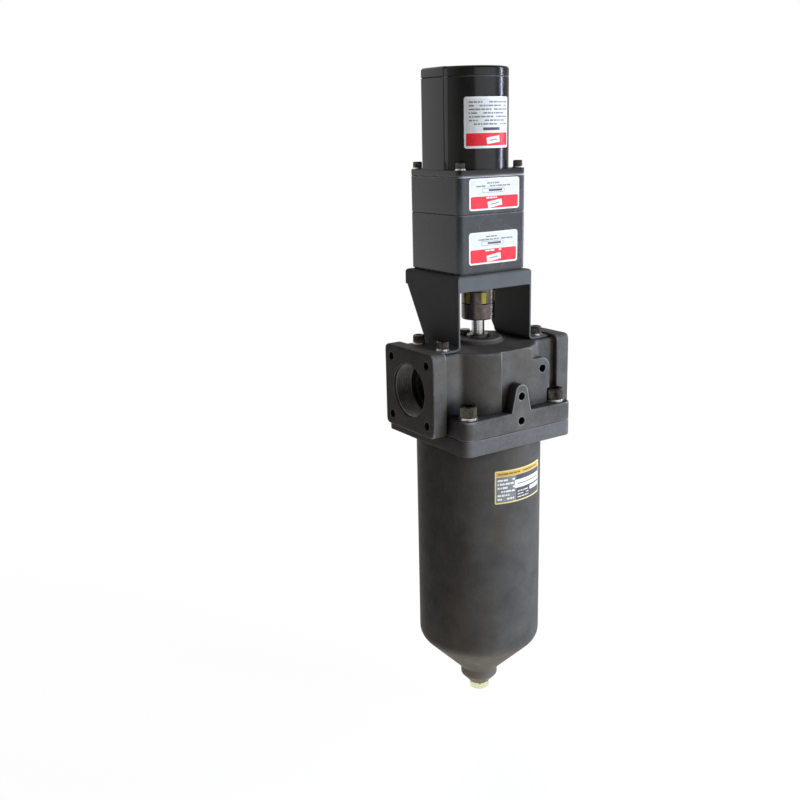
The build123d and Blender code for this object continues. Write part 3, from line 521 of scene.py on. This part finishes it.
motorScrew = {"width": 10.0, "high": 6.0, "thread": 6.0, "socket": 5.0, "deep": 3.0, "knurls": 32,
              "knurlDeep": 0.35, "circle": 108.0}
motorWasher = {"width": 11.8, "hole": 6.1, "thick": 1.6, "flat": 0.8, "upper": 10.4, "edge": 0.2}
flangeBox = boxOf("motor_flange")
driveY = (flangeBox[0].y + flangeBox[1].y) / 2      # middle of the gear case, off the shaft's axis
screwHalf = motorScrew["circle"] / 2 / math.sqrt(2)
motorPlaces = squarePlaces((screwHalf, screwHalf), driveY)
springWasherBox = boxOf("motor_head_washers")
capScrews("motorScrews", "motor_screws", motorScrew, motorPlaces, springWasherBox[1].z, boxOf("motor_screws")[0].z)
washers("motorHeadWashers", "motor_head_washers", motorWasher, motorPlaces, springWasherBox[0].z)
print("screws and washers done")


# Gear motor

# the lean range picks the seam rim that takes a painted highlight
motorShape = {"diameter": 88.4, "padWidth": 40.0, "padCorner": 1.0, "coverRound": 3.0, "coverSteps": 6, "seam": 0.8,
              "coverFoot": 0.5, "rimHighlightLean": (0.3, 0.95), "arcSteps": 132}


def motorRing(z, shrink=0.0):
    # round body with a flat pad towards -X, as one closed ring of points
    radius = motorShape["diameter"] / 2 - shrink
    flat = flangeBox[0].x + shrink
    half = motorShape["padWidth"] / 2 - shrink
    reach = math.pi - math.asin(half / radius)
    steps = motorShape["arcSteps"]
    angles = [-reach + 2 * reach * i / steps for i in range(steps + 1)]
    outline = [(radius * math.cos(angle), radius * math.sin(angle)) for angle in angles]
    foot = -math.sqrt(radius ** 2 - half ** 2)
    pad = rounded([(foot, half), (flat, half), (flat, -half), (foot, -half)],
                  [0, motorShape["padCorner"], motorShape["padCorner"], 0])
    return [Vector((axisX + x * mm, (driveY + y) * mm, z * mm)) for x, y in outline + pad[1:-1]]


def gearMotor():
    low, high = boxOf("motor_housing")
    seam = motorShape["seam"]
    bm = bmesh.new()
    loft(bm, [motorRing(low.z), motorRing(high.z - seam), motorRing(high.z, seam)])
    # painted highlight: the seam's upward-leaning rim takes the lighter paint
    least, most = motorShape["rimHighlightLean"]
    for face in bm.faces:
        face.normal_update()
        if least < face.normal.z < most:
            face.material_index = 1
    paints = [finishes["motor_paint"], extraFinishes["motorRimPaintedHighlight"]]
    finishPiece("motorHousing", bm, paints, "motor_housing", 25.0)
    low, high = boxOf("motor_end_cover")
    bm = bmesh.new()
    foot, bend, steps = motorShape["coverFoot"], motorShape["coverRound"], motorShape["coverSteps"]
    rings = [motorRing(low.z, foot), motorRing(low.z + foot)]
    for k in range(steps + 1):
        angle = math.pi / 2 * k / steps
        rings.append(motorRing(high.z - bend + bend * math.sin(angle), bend - bend * math.cos(angle)))
    loft(bm, rings)
    finishPiece("motorEndCover", bm, finishes["motor_paint"], "motor_end_cover", 40.0)


def squareCase(name, node, shape, holes):
    low, high = boxOf(node)
    half = (high.x - low.x) / 2
    loops = [squareLoop(half, shape["corner"], 0, driveY)]
    loops += [circleLoop(shape["hole"] / 2, x, y) for x, y in holes]
    if "bore" in shape:
        loops.append(circleLoop(shape["bore"] / 2, 0, 0, 96))
    mesh = outlineMesh(name, loops, shape.get("low", low.z), high.z, shape["edge"])
    # painted highlight: the rims of one side take the lighter second paint
    paintRimHighlights(mesh, side=shape["paintedEdgeLight"])
    return standFor(name, mesh, [finishes[slotOf[node]], extraFinishes[shape["edgeLightPaint"]]], node, 30.0)


# each case names which rims and which lighter paint carry a painted highlight
caseShapes = {
    "motor_flange": {"corner": 6.5, "edge": 0.7, "hole": 7.0, "paintedEdgeLight": -1, "edgeLightPaint": "motorRimPaintedHighlight"},
    "extra_gearhead_case": {"corner": 6.5, "edge": 1.3, "hole": 7.0, "paintedEdgeLight": 1, "edgeLightPaint": "gearRimPaintedHighlight"},
    "gearhead_case": {"corner": 6.5, "edge": 1.0, "hole": 7.0, "paintedEdgeLight": 1, "edgeLightPaint": "motorRimPaintedHighlight",
                      "bore": 28.1, "foot": 120.0, "low": 121.5, "pilot": 36.0, "gasketHalf": 43.0,
                      "gasketCorner": 4.0, "gasketEdge": 0.1, "lap": 1.5, "pilotEdge": 0.4},
}


def gearheads():
    # two square cases; the lower one stands on a thin gasket and a round pilot
    squareCase("motorFlange", "motor_flange", caseShapes["motor_flange"], motorPlaces)
    squareCase("extraGearheadCase", "extra_gearhead_case", caseShapes["extra_gearhead_case"], motorPlaces)
    shape = caseShapes["gearhead_case"]
    case = squareCase("gearheadCase", "gearhead_case", shape, motorPlaces)
    bm = bmesh.new()
    bm.from_mesh(case.data)
    foot = boxOf("gearhead_case")[0].z
    pilot, bore, top, edge = shape["pilot"] / 2, shape["bore"] / 2, shape["low"] + shape["lap"], shape["pilotEdge"]
    loops = [squareLoop(shape["gasketHalf"], shape["gasketCorner"], 0, driveY), circleLoop(bore, 0, 0, 96)]
    loops += [circleLoop(shape["hole"] / 2, x, y) for x, y in motorPlaces]
    gasket = outlineMesh("gearheadGasket", loops, shape["foot"], top, shape["gasketEdge"])
    bm.from_mesh(gasket)
    bpy.data.meshes.remove(gasket)
    spin(bm, [(bore, foot), (pilot - edge, foot), (pilot, foot + edge), (pilot, top), (bore, top)], 96, loop=True)
    bmesh.ops.recalc_face_normals(bm, faces=bm.faces[:])
    bm.to_mesh(case.data)
    bm.free()
    case.data.polygons.foreach_set("use_smooth", [True] * len(case.data.polygons))
    case.data.set_sharp_from_angle(angle=math.radians(30))


gearMotor()
gearheads()
print("gear motor done")


# Castings, bowl and bracket

skins = {
    "head_casting": {"grid": 0.8, "passes": 3, "keep": 0.33},
    "motor_bracket": {"grid": 0.7, "passes": 2, "keep": 0.75},
    "bottom_carrier": {"grid": 1.0, "passes": 2, "keep": 0.6},
}
castSkin("headCasting", "head_casting", skins["head_casting"])
castSkin("motorBracket", "motor_bracket", skins["motor_bracket"])
castSkin("bottomCarrier", "bottom_carrier", skins["bottom_carrier"])

# radii and heights in mm; the flare is the casting's rounding from the flange into the wall
bowlShape = {"flangeHigh": 17.0, "flangeBore": 69.0, "corner": 10.0, "edge": 0.8, "wall": 70.0, "bore": 64.0,
             "mouthGap": 0.05, "flare": 73.6, "flareReach": 3.6, "flareHigh": 4.3, "flareTop": 0.3, "flareRoot": 1.0,
             "flareSteps": 6, "shoulder": -308.0, "shoulderRound": 16.0, "innerShoulder": 2.4, "bossTop": -356.5,
             "boss": 21.5, "bossLow": -366.0, "end": 12.5, "thread": 9.55, "floorThick": 6.0, "well": 18.0,
             "steps": 180}


def bowlShell():
    low, high = boxOf("bowl")
    shape = bowlShape
    flangeLow = high.z - shape["flangeHigh"]
    bm = bmesh.new()
    loops = [squareLoop(high.x, shape["corner"]), circleLoop(shape["flangeBore"], steps=shape["steps"])]
    flange = outlineMesh("bowlFlange", loops, flangeLow, high.z, shape["edge"], 3)
    # painted highlight: the flange's upper rims take the lighter paint
    paintRimHighlights(flange, side=1)
    bm.from_mesh(flange)
    bpy.data.meshes.remove(flange)
    wall, bore, thread = shape["wall"], shape["bore"], shape["thread"]
    mouth, floor = high.z - shape["mouthGap"], shape["bossTop"] + shape["floorThick"]
    body = rounded(
        [(wall, flangeLow), (wall, shape["shoulder"]), (shape["boss"], shape["bossTop"]),
         (shape["boss"], shape["bossLow"]), (shape["end"], low.z), (thread, low.z), (thread, floor),
         (shape["well"], floor), (bore, shape["shoulder"] + shape["innerShoulder"]), (bore, mouth)],
        [0, shape["shoulderRound"], 2.0, 3.0, 1.2, 0.6, 0.3, 3.0, 12.0, 0], 8)[1:-1]
    root = flangeLow + shape["flareRoot"]
    section = [(bore, mouth), (wall, mouth), (wall, root), (shape["flare"], root)]
    for k in range(shape["flareSteps"] + 1):
        angle = math.pi / 2 * k / shape["flareSteps"]
        section.append((shape["flare"] - shape["flareReach"] * math.sin(angle),
                        flangeLow + shape["flareTop"] - shape["flareHigh"] * (1 - math.cos(angle))))
    loft(bm, [ringAt(radius, z, shape["steps"]) for radius, z in section + body], loop=True)
    finishPiece("bowlShell", bm, [finishes["bowl_paint"], extraFinishes["bowlRimPaintedHighlight"]], "bowl", 30.0)


bowlShell()

# fade is how many steps a ridge takes to rise and to run out, foot half its width and sunk its root in the wall
portThread = {"bore": 29.0, "deep": 1.3, "pitch": 2.31, "turns": 10, "steps": 72, "lead": 1.6, "fade": 40,
              "foot": 1.1, "sunk": 0.1, "least": 0.02, "tail": 0.05}


def threadRidge(bm, side):
    # helical thread ridge inside a port, from its mouth inwards
    rings = []
    shape = portThread
    mouth = -side * boxOf("head_casting")[0].x
    count = shape["turns"] * shape["steps"]
    root, foot = shape["bore"] + shape["sunk"], shape["foot"]
    for i in range(count + 1):
        angle = 2 * math.pi * i / shape["steps"]
        along = shape["lead"] + shape["pitch"] * i / shape["steps"]
        rise = min(1.0, i / shape["fade"], (count - i) / shape["fade"] + shape["tail"])
        crest = shape["bore"] - (shape["deep"] * rise + shape["least"])
        ring = []
        for shift, radius in ((-foot, root), (0.0, crest), (foot, root)):
            x = mouth - side * (along + shift)
            ring.append(Vector((axisX + x * mm, radius * math.cos(angle) * mm, radius * math.sin(angle) * mm)))
        rings.append(ring)
    loft(bm, rings)


def portThreads():
    bm = bmesh.new()
    for side in (-1, 1):
        threadRidge(bm, side)
    finishPiece("portThreads", bm, extraFinishes["machinedIron"], "head_casting", 30.0, hide=False)


portThreads()

# foot and shoulder are the chamfers of the hexagon's corners: reach past the flats, and height
plugShape = {"across": 22.0, "high": 8.0, "thread": 19.0, "lead": 1.0, "steps": 96,
             "foot": [(0.0, 0.35), (0.7, 0.8), (2.0, 1.5)], "shoulder": [(2.0, 0.9), (0.6, 0.0)]}


def drainPlug():
    # hexagon plug with a turned chamfer on its corners
    low, high = boxOf("drain_plug")
    bm = bmesh.new()
    shape = plugShape
    seat, rim, thread, lead = low.z + shape["high"], shape["across"] / 2, shape["thread"] / 2, shape["lead"]
    flats = hexRadius(shape["across"])

    def chamfered(past):
        return lambda angle: min(flats(angle), rim + past)

    levels = [(rim - lead, low.z)]
    levels += [(chamfered(past), low.z + rise) for past, rise in shape["foot"]]
    levels += [(chamfered(past), seat - drop) for past, drop in shape["shoulder"]]
    levels += [(thread, seat), (thread, high.z - lead), (thread - lead, high.z)]
    loft(bm, [ringAt(radius, z, shape["steps"]) for radius, z in levels])
    finishPiece("drainPlug", bm, extraFinishes["yellowZinc"], "drain_plug", 25.0)


drainPlug()
print("castings, bowl and bracket done")


# Labels

labelInk = {
    "white": printedFilm("labelWhiteFilm", "#f6f6f3", "#fdfdfb"),
    "silver": printedFilm("labelSilverFilm", "#e3e5e2", "#eff0ed"),
    "red": printedFilm("labelRedInk", "#f02837", "#fb3341"),
    "grey": printedFilm("labelGreyInk", "#80807e", "#92928f"),
    "dark": printedFilm("labelDarkInk", "#4a4a4d", "#5b5b5f"),
    "brown": printedFilm("labelBrownInk", "#8a5c2c", "#9c6d3a"),
    "gold": printedFilm("labelGoldInk", "#dfb256", "#ecc671"),
    "paleGold": printedFilm("labelPaleGoldInk", "#f3df8e", "#fbeeb4"),
    "steelGrey": printedFilm("labelSteelGrey", "#838381", "#9a9a97"),
    "sticker": printedFilm("paperSticker", "#f0efee", "#fbfafa", 0.6),
}


# in mm: columns of a patch this far apart, steps in its corners, and how far each layer lies over the last
labelForm = {"spacing": 1.5, "cornerSteps": 5, "layer": 0.05, "thick": 0.07}


def labelPatch(bm, surface, patch, level, thick, slotIndex):
    # thin rounded rectangle laid on a surface, turned by its tilt about its middle
    low, high, corner = patch["low"], patch["high"], patch["corner"]
    tilt = math.radians(patch.get("tilt", 0.0))
    middle = Vector(((low[0] + high[0]) / 2, (low[1] + high[1]) / 2))
    steps = labelForm["cornerSteps"]
    count = max(2, math.ceil((high[0] - low[0]) / labelForm["spacing"]))
    edges = [corner * (1 - math.cos(math.pi / 2 * k / steps)) for k in range(steps + 1)]
    columns = {round(low[0] + reach, 4) for reach in edges} | {round(high[0] - reach, 4) for reach in edges}
    columns |= {round(low[0] + (high[0] - low[0]) * i / count, 4) for i in range(count + 1)}
    strips = []
    for u in sorted(columns):
        side = min(u - low[0], high[0] - u)
        inset = 0.0
        if side < corner:
            inset = corner - math.sqrt(max(0.0, corner ** 2 - (corner - side) ** 2))
        column = []
        for v, out in ((low[1] + inset, level), (high[1] - inset, level), (high[1] - inset, level + thick),
                       (low[1] + inset, level + thick)):
            place = middle + Matrix.Rotation(tilt, 2) @ (Vector((u, v)) - middle)
            point, normal = surface(place.x, place.y)
            column.append(bm.verts.new(point + normal * out * mm))
        strips.append(column)
    for left, right in zip(strips, strips[1:]):
        for k in range(4):
            face = bm.faces.new((left[k], right[k], right[(k + 1) % 4], left[(k + 1) % 4]))
            face.material_index = slotIndex
    for end in (strips[0], strips[-1]):
        bm.faces.new(end).material_index = slotIndex


def inkPatch(ink, low, high, corner, layer=1, tilt=0.0):
    return {"ink": ink, "low": low, "high": high, "corner": corner, "layer": layer, "tilt": tilt}


def label(name, node, surface, patches):
    # each layer lies a little above the one below
    inks = []
    bm = bmesh.new()
    for patch in patches:
        ink = labelInk[patch["ink"]]
        if ink not in inks:
            inks.append(ink)
        labelPatch(bm, surface, patch, patch["layer"] * labelForm["layer"], labelForm["thick"], inks.index(ink))
    finishPiece(name, bm, inks, node, 30.0, hide=False)


def flatFront(y):
    def surface(u, v):
        return Vector((axisX + u * mm, y * mm, v * mm)), Vector((0, -1, 0))
    return surface


def roundFront(radius, y):
    # u runs along the arc from the middle of the front
    def surface(u, v):
        angle = u / radius - math.pi / 2
        normal = Vector((math.cos(angle), math.sin(angle), 0))
        return Vector((axisX, y * mm, v * mm)) + normal * radius * mm, normal
    return surface


# lengths of the bars that stand for words, in mm; one word in gapEvery is left out
barForm = {"shortest": 1.6, "step": 0.9, "lengths": 6, "space": 0.8, "corner": 0.1, "leastRest": 1.5, "gapEvery": 7}


def textBars(ink, low, high, rows, seed, layer=2, full=0.36):
    # rows of short bars in place of small print; full is the share of a row's height that a bar fills
    bars = []
    rowHigh = (high[1] - low[1]) / rows
    for row in range(rows):
        u = low[0]
        k = 0
        while u < high[0] - barForm["leastRest"]:
            length = barForm["shortest"] + ((seed + row * 7 + k * 5) % barForm["lengths"]) * barForm["step"]
            end = min(u + length, high[0])
            v = high[1] - rowHigh * (row + 0.5)
            half = rowHigh * full / 2
            if (seed + row * 3 + k) % barForm["gapEvery"] != 0:
                bars.append(inkPatch(ink, (u, v - half), (end, v + half), barForm["corner"], layer))
            u = end + barForm["space"]
            k += 1
    return bars


def caseLabel(name, node, shape):
    # white card with a silver field over a red band; a paper sticker lies on the band
    front = boxOf(node)[0].y
    low, high, split = shape["low"], shape["high"], shape["split"]
    border = shape["border"]
    middle = (low[0] + high[0]) / 2
    patches = [
        inkPatch("white", low, high, shape["corner"], 0),
        inkPatch("red", (low[0] + border, low[1] + border), (high[0] - border, split), 1.6),
        inkPatch("silver", (low[0] + border, split + 0.2), (high[0] - border, high[1] - border), 1.6),
        inkPatch("sticker", (middle - 9.2, low[1] + 3.2), (middle + 9.8, low[1] + 9.8), 0.6, 3, 8.0),
        inkPatch("grey", (middle - 5.5, low[1] + 6.0), (middle + 5.5, low[1] + 6.9), 0.2, 4, 8.0),
        inkPatch("grey", (middle - 16.5, split + 3.6), (middle + 13.5, split + 8.2), 2.2, 2),
        inkPatch("silver", (middle - 16.1, split + 4.0), (middle + 13.1, split + 7.8), 1.8, 3),
        inkPatch("dark", (middle - 8.0, split + 5.0), (middle + 10.0, split + 7.0), 0.3, 4),
    ]
    seed, top = shape["seed"], high[1]
    patches += textBars("white", (middle - 11, split - 2.6), (middle + 12, split - 0.6), 1, seed + 1, 2, 0.8)
    patches += textBars("grey", (middle - 10, top - 6.4), (middle + 8, top - 3.6), 1, seed, 2, 0.5)
    patches += textBars("grey", (low[0] + 9, top - 9.4), (high[0] - 7, top - 6.6), 1, seed + 3, 2, 0.5)
    label(name, node, flatFront(front), patches)


caseLabel("upperCaseLabel", "extra_gearhead_case",
          {"low": (-32.0, 186.0), "high": (34.7, 218.6), "split": 200.2, "border": 1.8, "corner": 3.0, "seed": 2})
caseLabel("lowerCaseLabel", "gearhead_case",
          {"low": (-32.6, 130.0), "high": (32.6, 163.6), "split": 145.6, "border": 1.8, "corner": 3.0, "seed": 4})


def motorLabel():
    # bent round the motor; from and to are bearings in degrees
    shape = {"from": -131.5, "to": -56.0, "low": 248.6, "high": 299.6, "bandLow": 251.0, "bandHigh": 263.8,
             "corner": 2.5, "border": 2.2}
    radius = motorShape["diameter"] / 2
    left = math.radians(shape["from"] + 90) * radius
    right = math.radians(shape["to"] + 90) * radius
    inner = (left + shape["border"], right - shape["border"])
    patches = [
        inkPatch("white", (left, shape["low"]), (right, shape["high"]), shape["corner"], 0),
        inkPatch("red", (inner[0], shape["bandLow"]), (inner[1], shape["bandHigh"]), 1.0),
        inkPatch("silver", (inner[0], shape["bandHigh"] + 0.8), (inner[1], shape["high"] - 2), 1.0),
        inkPatch("sticker", (left + 24, shape["bandLow"] + 2.6), (left + 41, shape["bandHigh"] - 3.6), 0.6, 3, 7.0),
        inkPatch("grey", (left + 28, shape["bandLow"] + 5.4), (left + 37, shape["bandLow"] + 6.4), 0.2, 4, 7.0),
        inkPatch("dark", (left + 20, shape["bandHigh"] + 2.6), (left + 41, shape["bandHigh"] + 5.4), 0.3, 2),
    ]
    patches += textBars("grey", (left + 5, shape["bandHigh"] + 7), (right - 4, shape["high"] - 3.5), 7, 3, 2, 0.42)
    label("motorLabel", "motor_housing", roundFront(radius, driveY), patches)


def bowlLabel():
    # gold-edged plate with a gold head and blank white fields
    shape = {"from": -113.5, "to": -57.0, "low": -125.8, "high": -88.0, "corner": 1.6, "border": 1.5}
    radius = bowlShape["wall"]
    left = math.radians(shape["from"] + 90) * radius
    right = math.radians(shape["to"] + 90) * radius
    low, high, edge = shape["low"], shape["high"], shape["border"]
    patches = [
        inkPatch("paleGold", (left, low), (right, high), shape["corner"], 0),
        inkPatch("gold", (left + edge, high - 6.6), (right - edge, high - edge), 0.8),
        inkPatch("steelGrey", (left + edge, low + edge), (left + 26, high - 7.2), 0.6),
        inkPatch("dark", (left + 25.9, low + edge), (right - edge, high - 7.2), 0.6),
        inkPatch("white", (left + 24, low + 15.5), (right - 2.4, low + 25.0), 1.2, 2),
        inkPatch("grey", (left + 28, low + 19.6), (right - 4, low + 20.8), 0.3, 3),
        inkPatch("white", (left + 47, low + 9.0), (right - 2.4, low + 13.6), 1.0, 2),
    ]
    patches += textBars("brown", (left + 4, high - 5.4), (right - 6, high - 2.6), 1, 1, 2, 0.6)
    patches += textBars("white", (left + 3, low + 3), (left + 24, high - 9), 6, 5, 2, 0.5)
    patches += textBars("silver", (left + 28, low + 3), (left + 45, low + 13), 3, 2, 2, 0.4)
    label("bowlLabel", "bowl", roundFront(radius, 0.0), patches)


motorLabel()
bowlLabel()
print("labels done")


# Stage, lamps and camera

# in metres; drop keeps the floor clear of the plug, which comes 20 mm down, and the filter hangs in its pipe
# line, so it has no foot; between near and far the floor fades into the white backdrop
floorLook = {"size": 8.0, "drop": 0.026, "colour": "#cfcbc4", "glowNear": 0.93, "shadowTone": 0.14, "near": 0.35,
             "far": 1.1}


def backdropRays(tree, path):
    # 1 for the rays that see the plain background: from the camera, from gloss and through glass
    bent = addNode(tree, "ShaderNodeMath", {"operation": "MAXIMUM"},
                   {0: path.outputs["Is Glossy Ray"], 1: path.outputs["Is Transmission Ray"]}).outputs["Value"]
    return addNode(tree, "ShaderNodeMath", {"operation": "MAXIMUM"},
                   {0: path.outputs["Is Camera Ray"], 1: bent}).outputs["Value"]


def stageFloor():
    # pale matt floor; the camera sees it near white with the object's soft shadow, which fades into the backdrop
    bpy.ops.mesh.primitive_plane_add(size=floorLook["size"], location=(axisX, 0, cadLow.z - floorLook["drop"]))
    floor = bpy.context.object
    floor.name = "studioFloor"
    material = bpy.data.materials.new("paleFloor")
    material.use_nodes = True
    tree = material.node_tree
    tree.nodes.clear()
    coords = addNode(tree, "ShaderNodeTexCoord").outputs["Object"]
    reach = addNode(tree, "ShaderNodeVectorMath", {"operation": "LENGTH"}, {0: coords}).outputs["Value"]
    fade = {"From Min": floorLook["near"], "From Max": floorLook["far"]}
    glowLevel = addNode(tree, "ShaderNodeMapRange", {**fade, "To Min": floorLook["glowNear"], "To Max": 1.0},
                        {"Value": reach}).outputs["Result"]
    tone = addNode(tree, "ShaderNodeMapRange", {**fade, "To Min": floorLook["shadowTone"], "To Max": 0.0},
                   {"Value": reach}).outputs["Result"]
    glow = addNode(tree, "ShaderNodeEmission", {"Color": (1, 1, 1, 1)}, {"Strength": glowLevel})
    matte = addNode(tree, "ShaderNodeBsdfDiffuse", links={"Color": tone})
    both = addNode(tree, "ShaderNodeAddShader", links={0: glow.outputs[0], 1: matte.outputs[0]})
    plain = addNode(tree, "ShaderNodeBsdfDiffuse", {"Color": hexColor(floorLook["colour"])})
    seen = backdropRays(tree, addNode(tree, "ShaderNodeLightPath"))
    either = addNode(tree, "ShaderNodeMixShader", links={0: seen, 1: plain.outputs[0], 2: both.outputs[0]})
    addNode(tree, "ShaderNodeOutputMaterial", links={"Surface": either.outputs[0]})
    floor.data.materials.append(material)


# fill is the room's own light; in reflections the white backdrop is full towards the bearing bright, in degrees,
# and falls to dim on the far side; reach is the cosine range of that fall
worldLook = {"fill": 0.012, "tint": "#ffeedd", "bright": 110, "dim": 0.13, "reach": (-0.3, 0.95)}


def studioWorld():
    # dim warm room light; the camera sees white, and so do reflections, dimmer on the dark side of the studio
    world = bpy.data.worlds.new("studio")
    bpy.context.scene.world = world
    world.use_nodes = True
    tree = world.node_tree
    tree.nodes.clear()
    bright = math.radians(worldLook["bright"])
    ahead = addNode(tree, "ShaderNodeTexCoord").outputs["Generated"]
    brightest = (math.cos(bright), math.sin(bright), 0)
    side = addNode(tree, "ShaderNodeVectorMath", {"operation": "DOT_PRODUCT", 1: brightest},
                   {0: ahead}).outputs["Value"]
    least, most = worldLook["reach"]
    shade = addNode(tree, "ShaderNodeMapRange", {"From Min": least, "From Max": most, "To Min": worldLook["dim"],
                                                 "To Max": 1.0}, {"Value": side}).outputs["Result"]
    path = addNode(tree, "ShaderNodeLightPath")
    level = addNode(tree, "ShaderNodeMath", {"operation": "MAXIMUM"},
                    {0: shade, 1: path.outputs["Is Camera Ray"]}).outputs["Value"]
    white = addNode(tree, "ShaderNodeBackground", {"Color": (1, 1, 1, 1)}, {"Strength": level})
    room = {"Color": hexColor(worldLook["tint"]), "Strength": worldLook["fill"]}
    fill = addNode(tree, "ShaderNodeBackground", room)
    seen = backdropRays(tree, path)
    either = addNode(tree, "ShaderNodeMixShader", links={0: seen, 1: fill.outputs[0], 2: white.outputs[0]})
    addNode(tree, "ShaderNodeOutputWorld", links={"Surface": either.outputs[0]})


# turn is the lamp's bearing about the filter from +X, rise its height in degrees, far its distance in metres;
# at level 1 a surface that faces the lamp shows its own colour; glints says that reflections see the lamp
lamps = {
    "warmBox": {"turn": -82, "rise": 8, "far": 1.7, "size": (1.2, 1.1),
                "level": 0.11, "tint": "#ffe0bc", "glints": False},
    "coolBox": {"turn": -55, "rise": 8, "far": 1.7, "size": (0.7, 1.1),
                "level": 0.88, "tint": "#dcecff", "glints": False},
    "frontWall": {"turn": -74, "rise": 10, "far": 1.7, "size": (2.0, 1.7),
                  "level": 0.34, "tint": "#f4f8ff", "glints": True},
    "sideStrip": {"turn": -19, "rise": 4, "far": 1.6, "size": (0.11, 1.5),
                  "level": 0.56, "tint": "#dbe2ff", "glints": True},
    "backBox": {"turn": 65, "rise": 14, "far": 1.8, "size": (1.2, 1.2),
                "level": 0.70, "tint": "#fffaf4", "glints": False},
}
lampAim = -0.02     # height that the boxes point at
# disc just under the resting plug; turn and far move its middle off the axis
tableGlow = {"radius": 0.11, "under": 0.0005, "level": 1.6, "tint": "#fff4dc", "turn": -160, "far": 0.03}


def addLamp(name, light, place, toward):
    holder = bpy.data.objects.new(name, light)
    holder.location = place
    holder.rotation_euler = (place - toward).to_track_quat("Z", "Y").to_euler()
    holder.visible_camera = False
    bpy.context.scene.collection.objects.link(holder)
    return holder


def softBox(name, lamp):
    light = bpy.data.lights.new(name, "AREA")
    light.shape = "RECTANGLE"
    light.size, light.size_y = lamp["size"]
    light.energy = lamp["level"] * (math.pi * lamp["far"]) ** 2
    light.color = hexColor(lamp["tint"])[:3]
    turn, rise = math.radians(lamp["turn"]), math.radians(lamp["rise"])
    away = Vector((math.cos(turn) * math.cos(rise), math.sin(turn) * math.cos(rise), math.sin(rise)))
    middle = Vector((axisX, 0, lampAim))
    addLamp(name, light, middle + away * lamp["far"], middle).visible_glossy = lamp["glints"]


def glowDisc():
    # stands for the light that a lit white table throws up on the cone
    light = bpy.data.lights.new("tableGlow", "AREA")
    light.shape = "DISK"
    light.size = tableGlow["radius"] * 2
    light.energy = tableGlow["level"] * (math.pi * tableGlow["radius"]) ** 2
    light.color = hexColor(tableGlow["tint"])[:3]
    turn = math.radians(tableGlow["turn"])
    aside = Vector((math.cos(turn), math.sin(turn), 0)) * tableGlow["far"]
    foot = Vector((axisX, 0, cadLow.z - tableGlow["under"])) + aside
    addLamp("tableGlow", light, foot, foot + Vector((0, 0, 1))).visible_glossy = False


# place in metres, lens and sensor in mm, angles in radians
cameraFit = {"place": (-0.57715, -0.85616, 0.2700), "lens": 44.98, "sensor": 36.0, "yaw": 0.584, "pitch": -0.265,
             "roll": -0.024, "clipEnd": 50.0}


def photoCamera():
    # the camera that was fitted to the photograph's edges
    yaw, pitch, roll = cameraFit["yaw"], cameraFit["pitch"], cameraFit["roll"]
    level = Vector((math.sin(yaw), math.cos(yaw), 0))
    right = Vector((math.cos(yaw), -math.sin(yaw), 0))
    ahead = level * math.cos(pitch) + Vector((0, 0, math.sin(pitch)))
    up = Vector((0, 0, math.cos(pitch))) - level * math.sin(pitch)
    across = right * math.cos(roll) + up * math.sin(roll)
    above = up * math.cos(roll) - right * math.sin(roll)
    camera = bpy.data.objects.new("photoCamera", bpy.data.cameras.new("photoCamera"))
    bpy.context.scene.collection.objects.link(camera)
    camera.data.lens = cameraFit["lens"]
    camera.data.sensor_width = cameraFit["sensor"]
    camera.data.clip_end = cameraFit["clipEnd"]
    turn = Matrix((across, above, -ahead)).transposed()
    camera.matrix_world = Matrix.Translation(cameraFit["place"]) @ turn.to_4x4()
    bpy.context.scene.camera = camera


stageFloor()
studioWorld()
glowDisc()
for lampName, lamp in lamps.items():
    softBox(lampName, lamp)
photoCamera()

bpy.context.scene.view_settings.view_transform = "Standard"
print("scene ready")
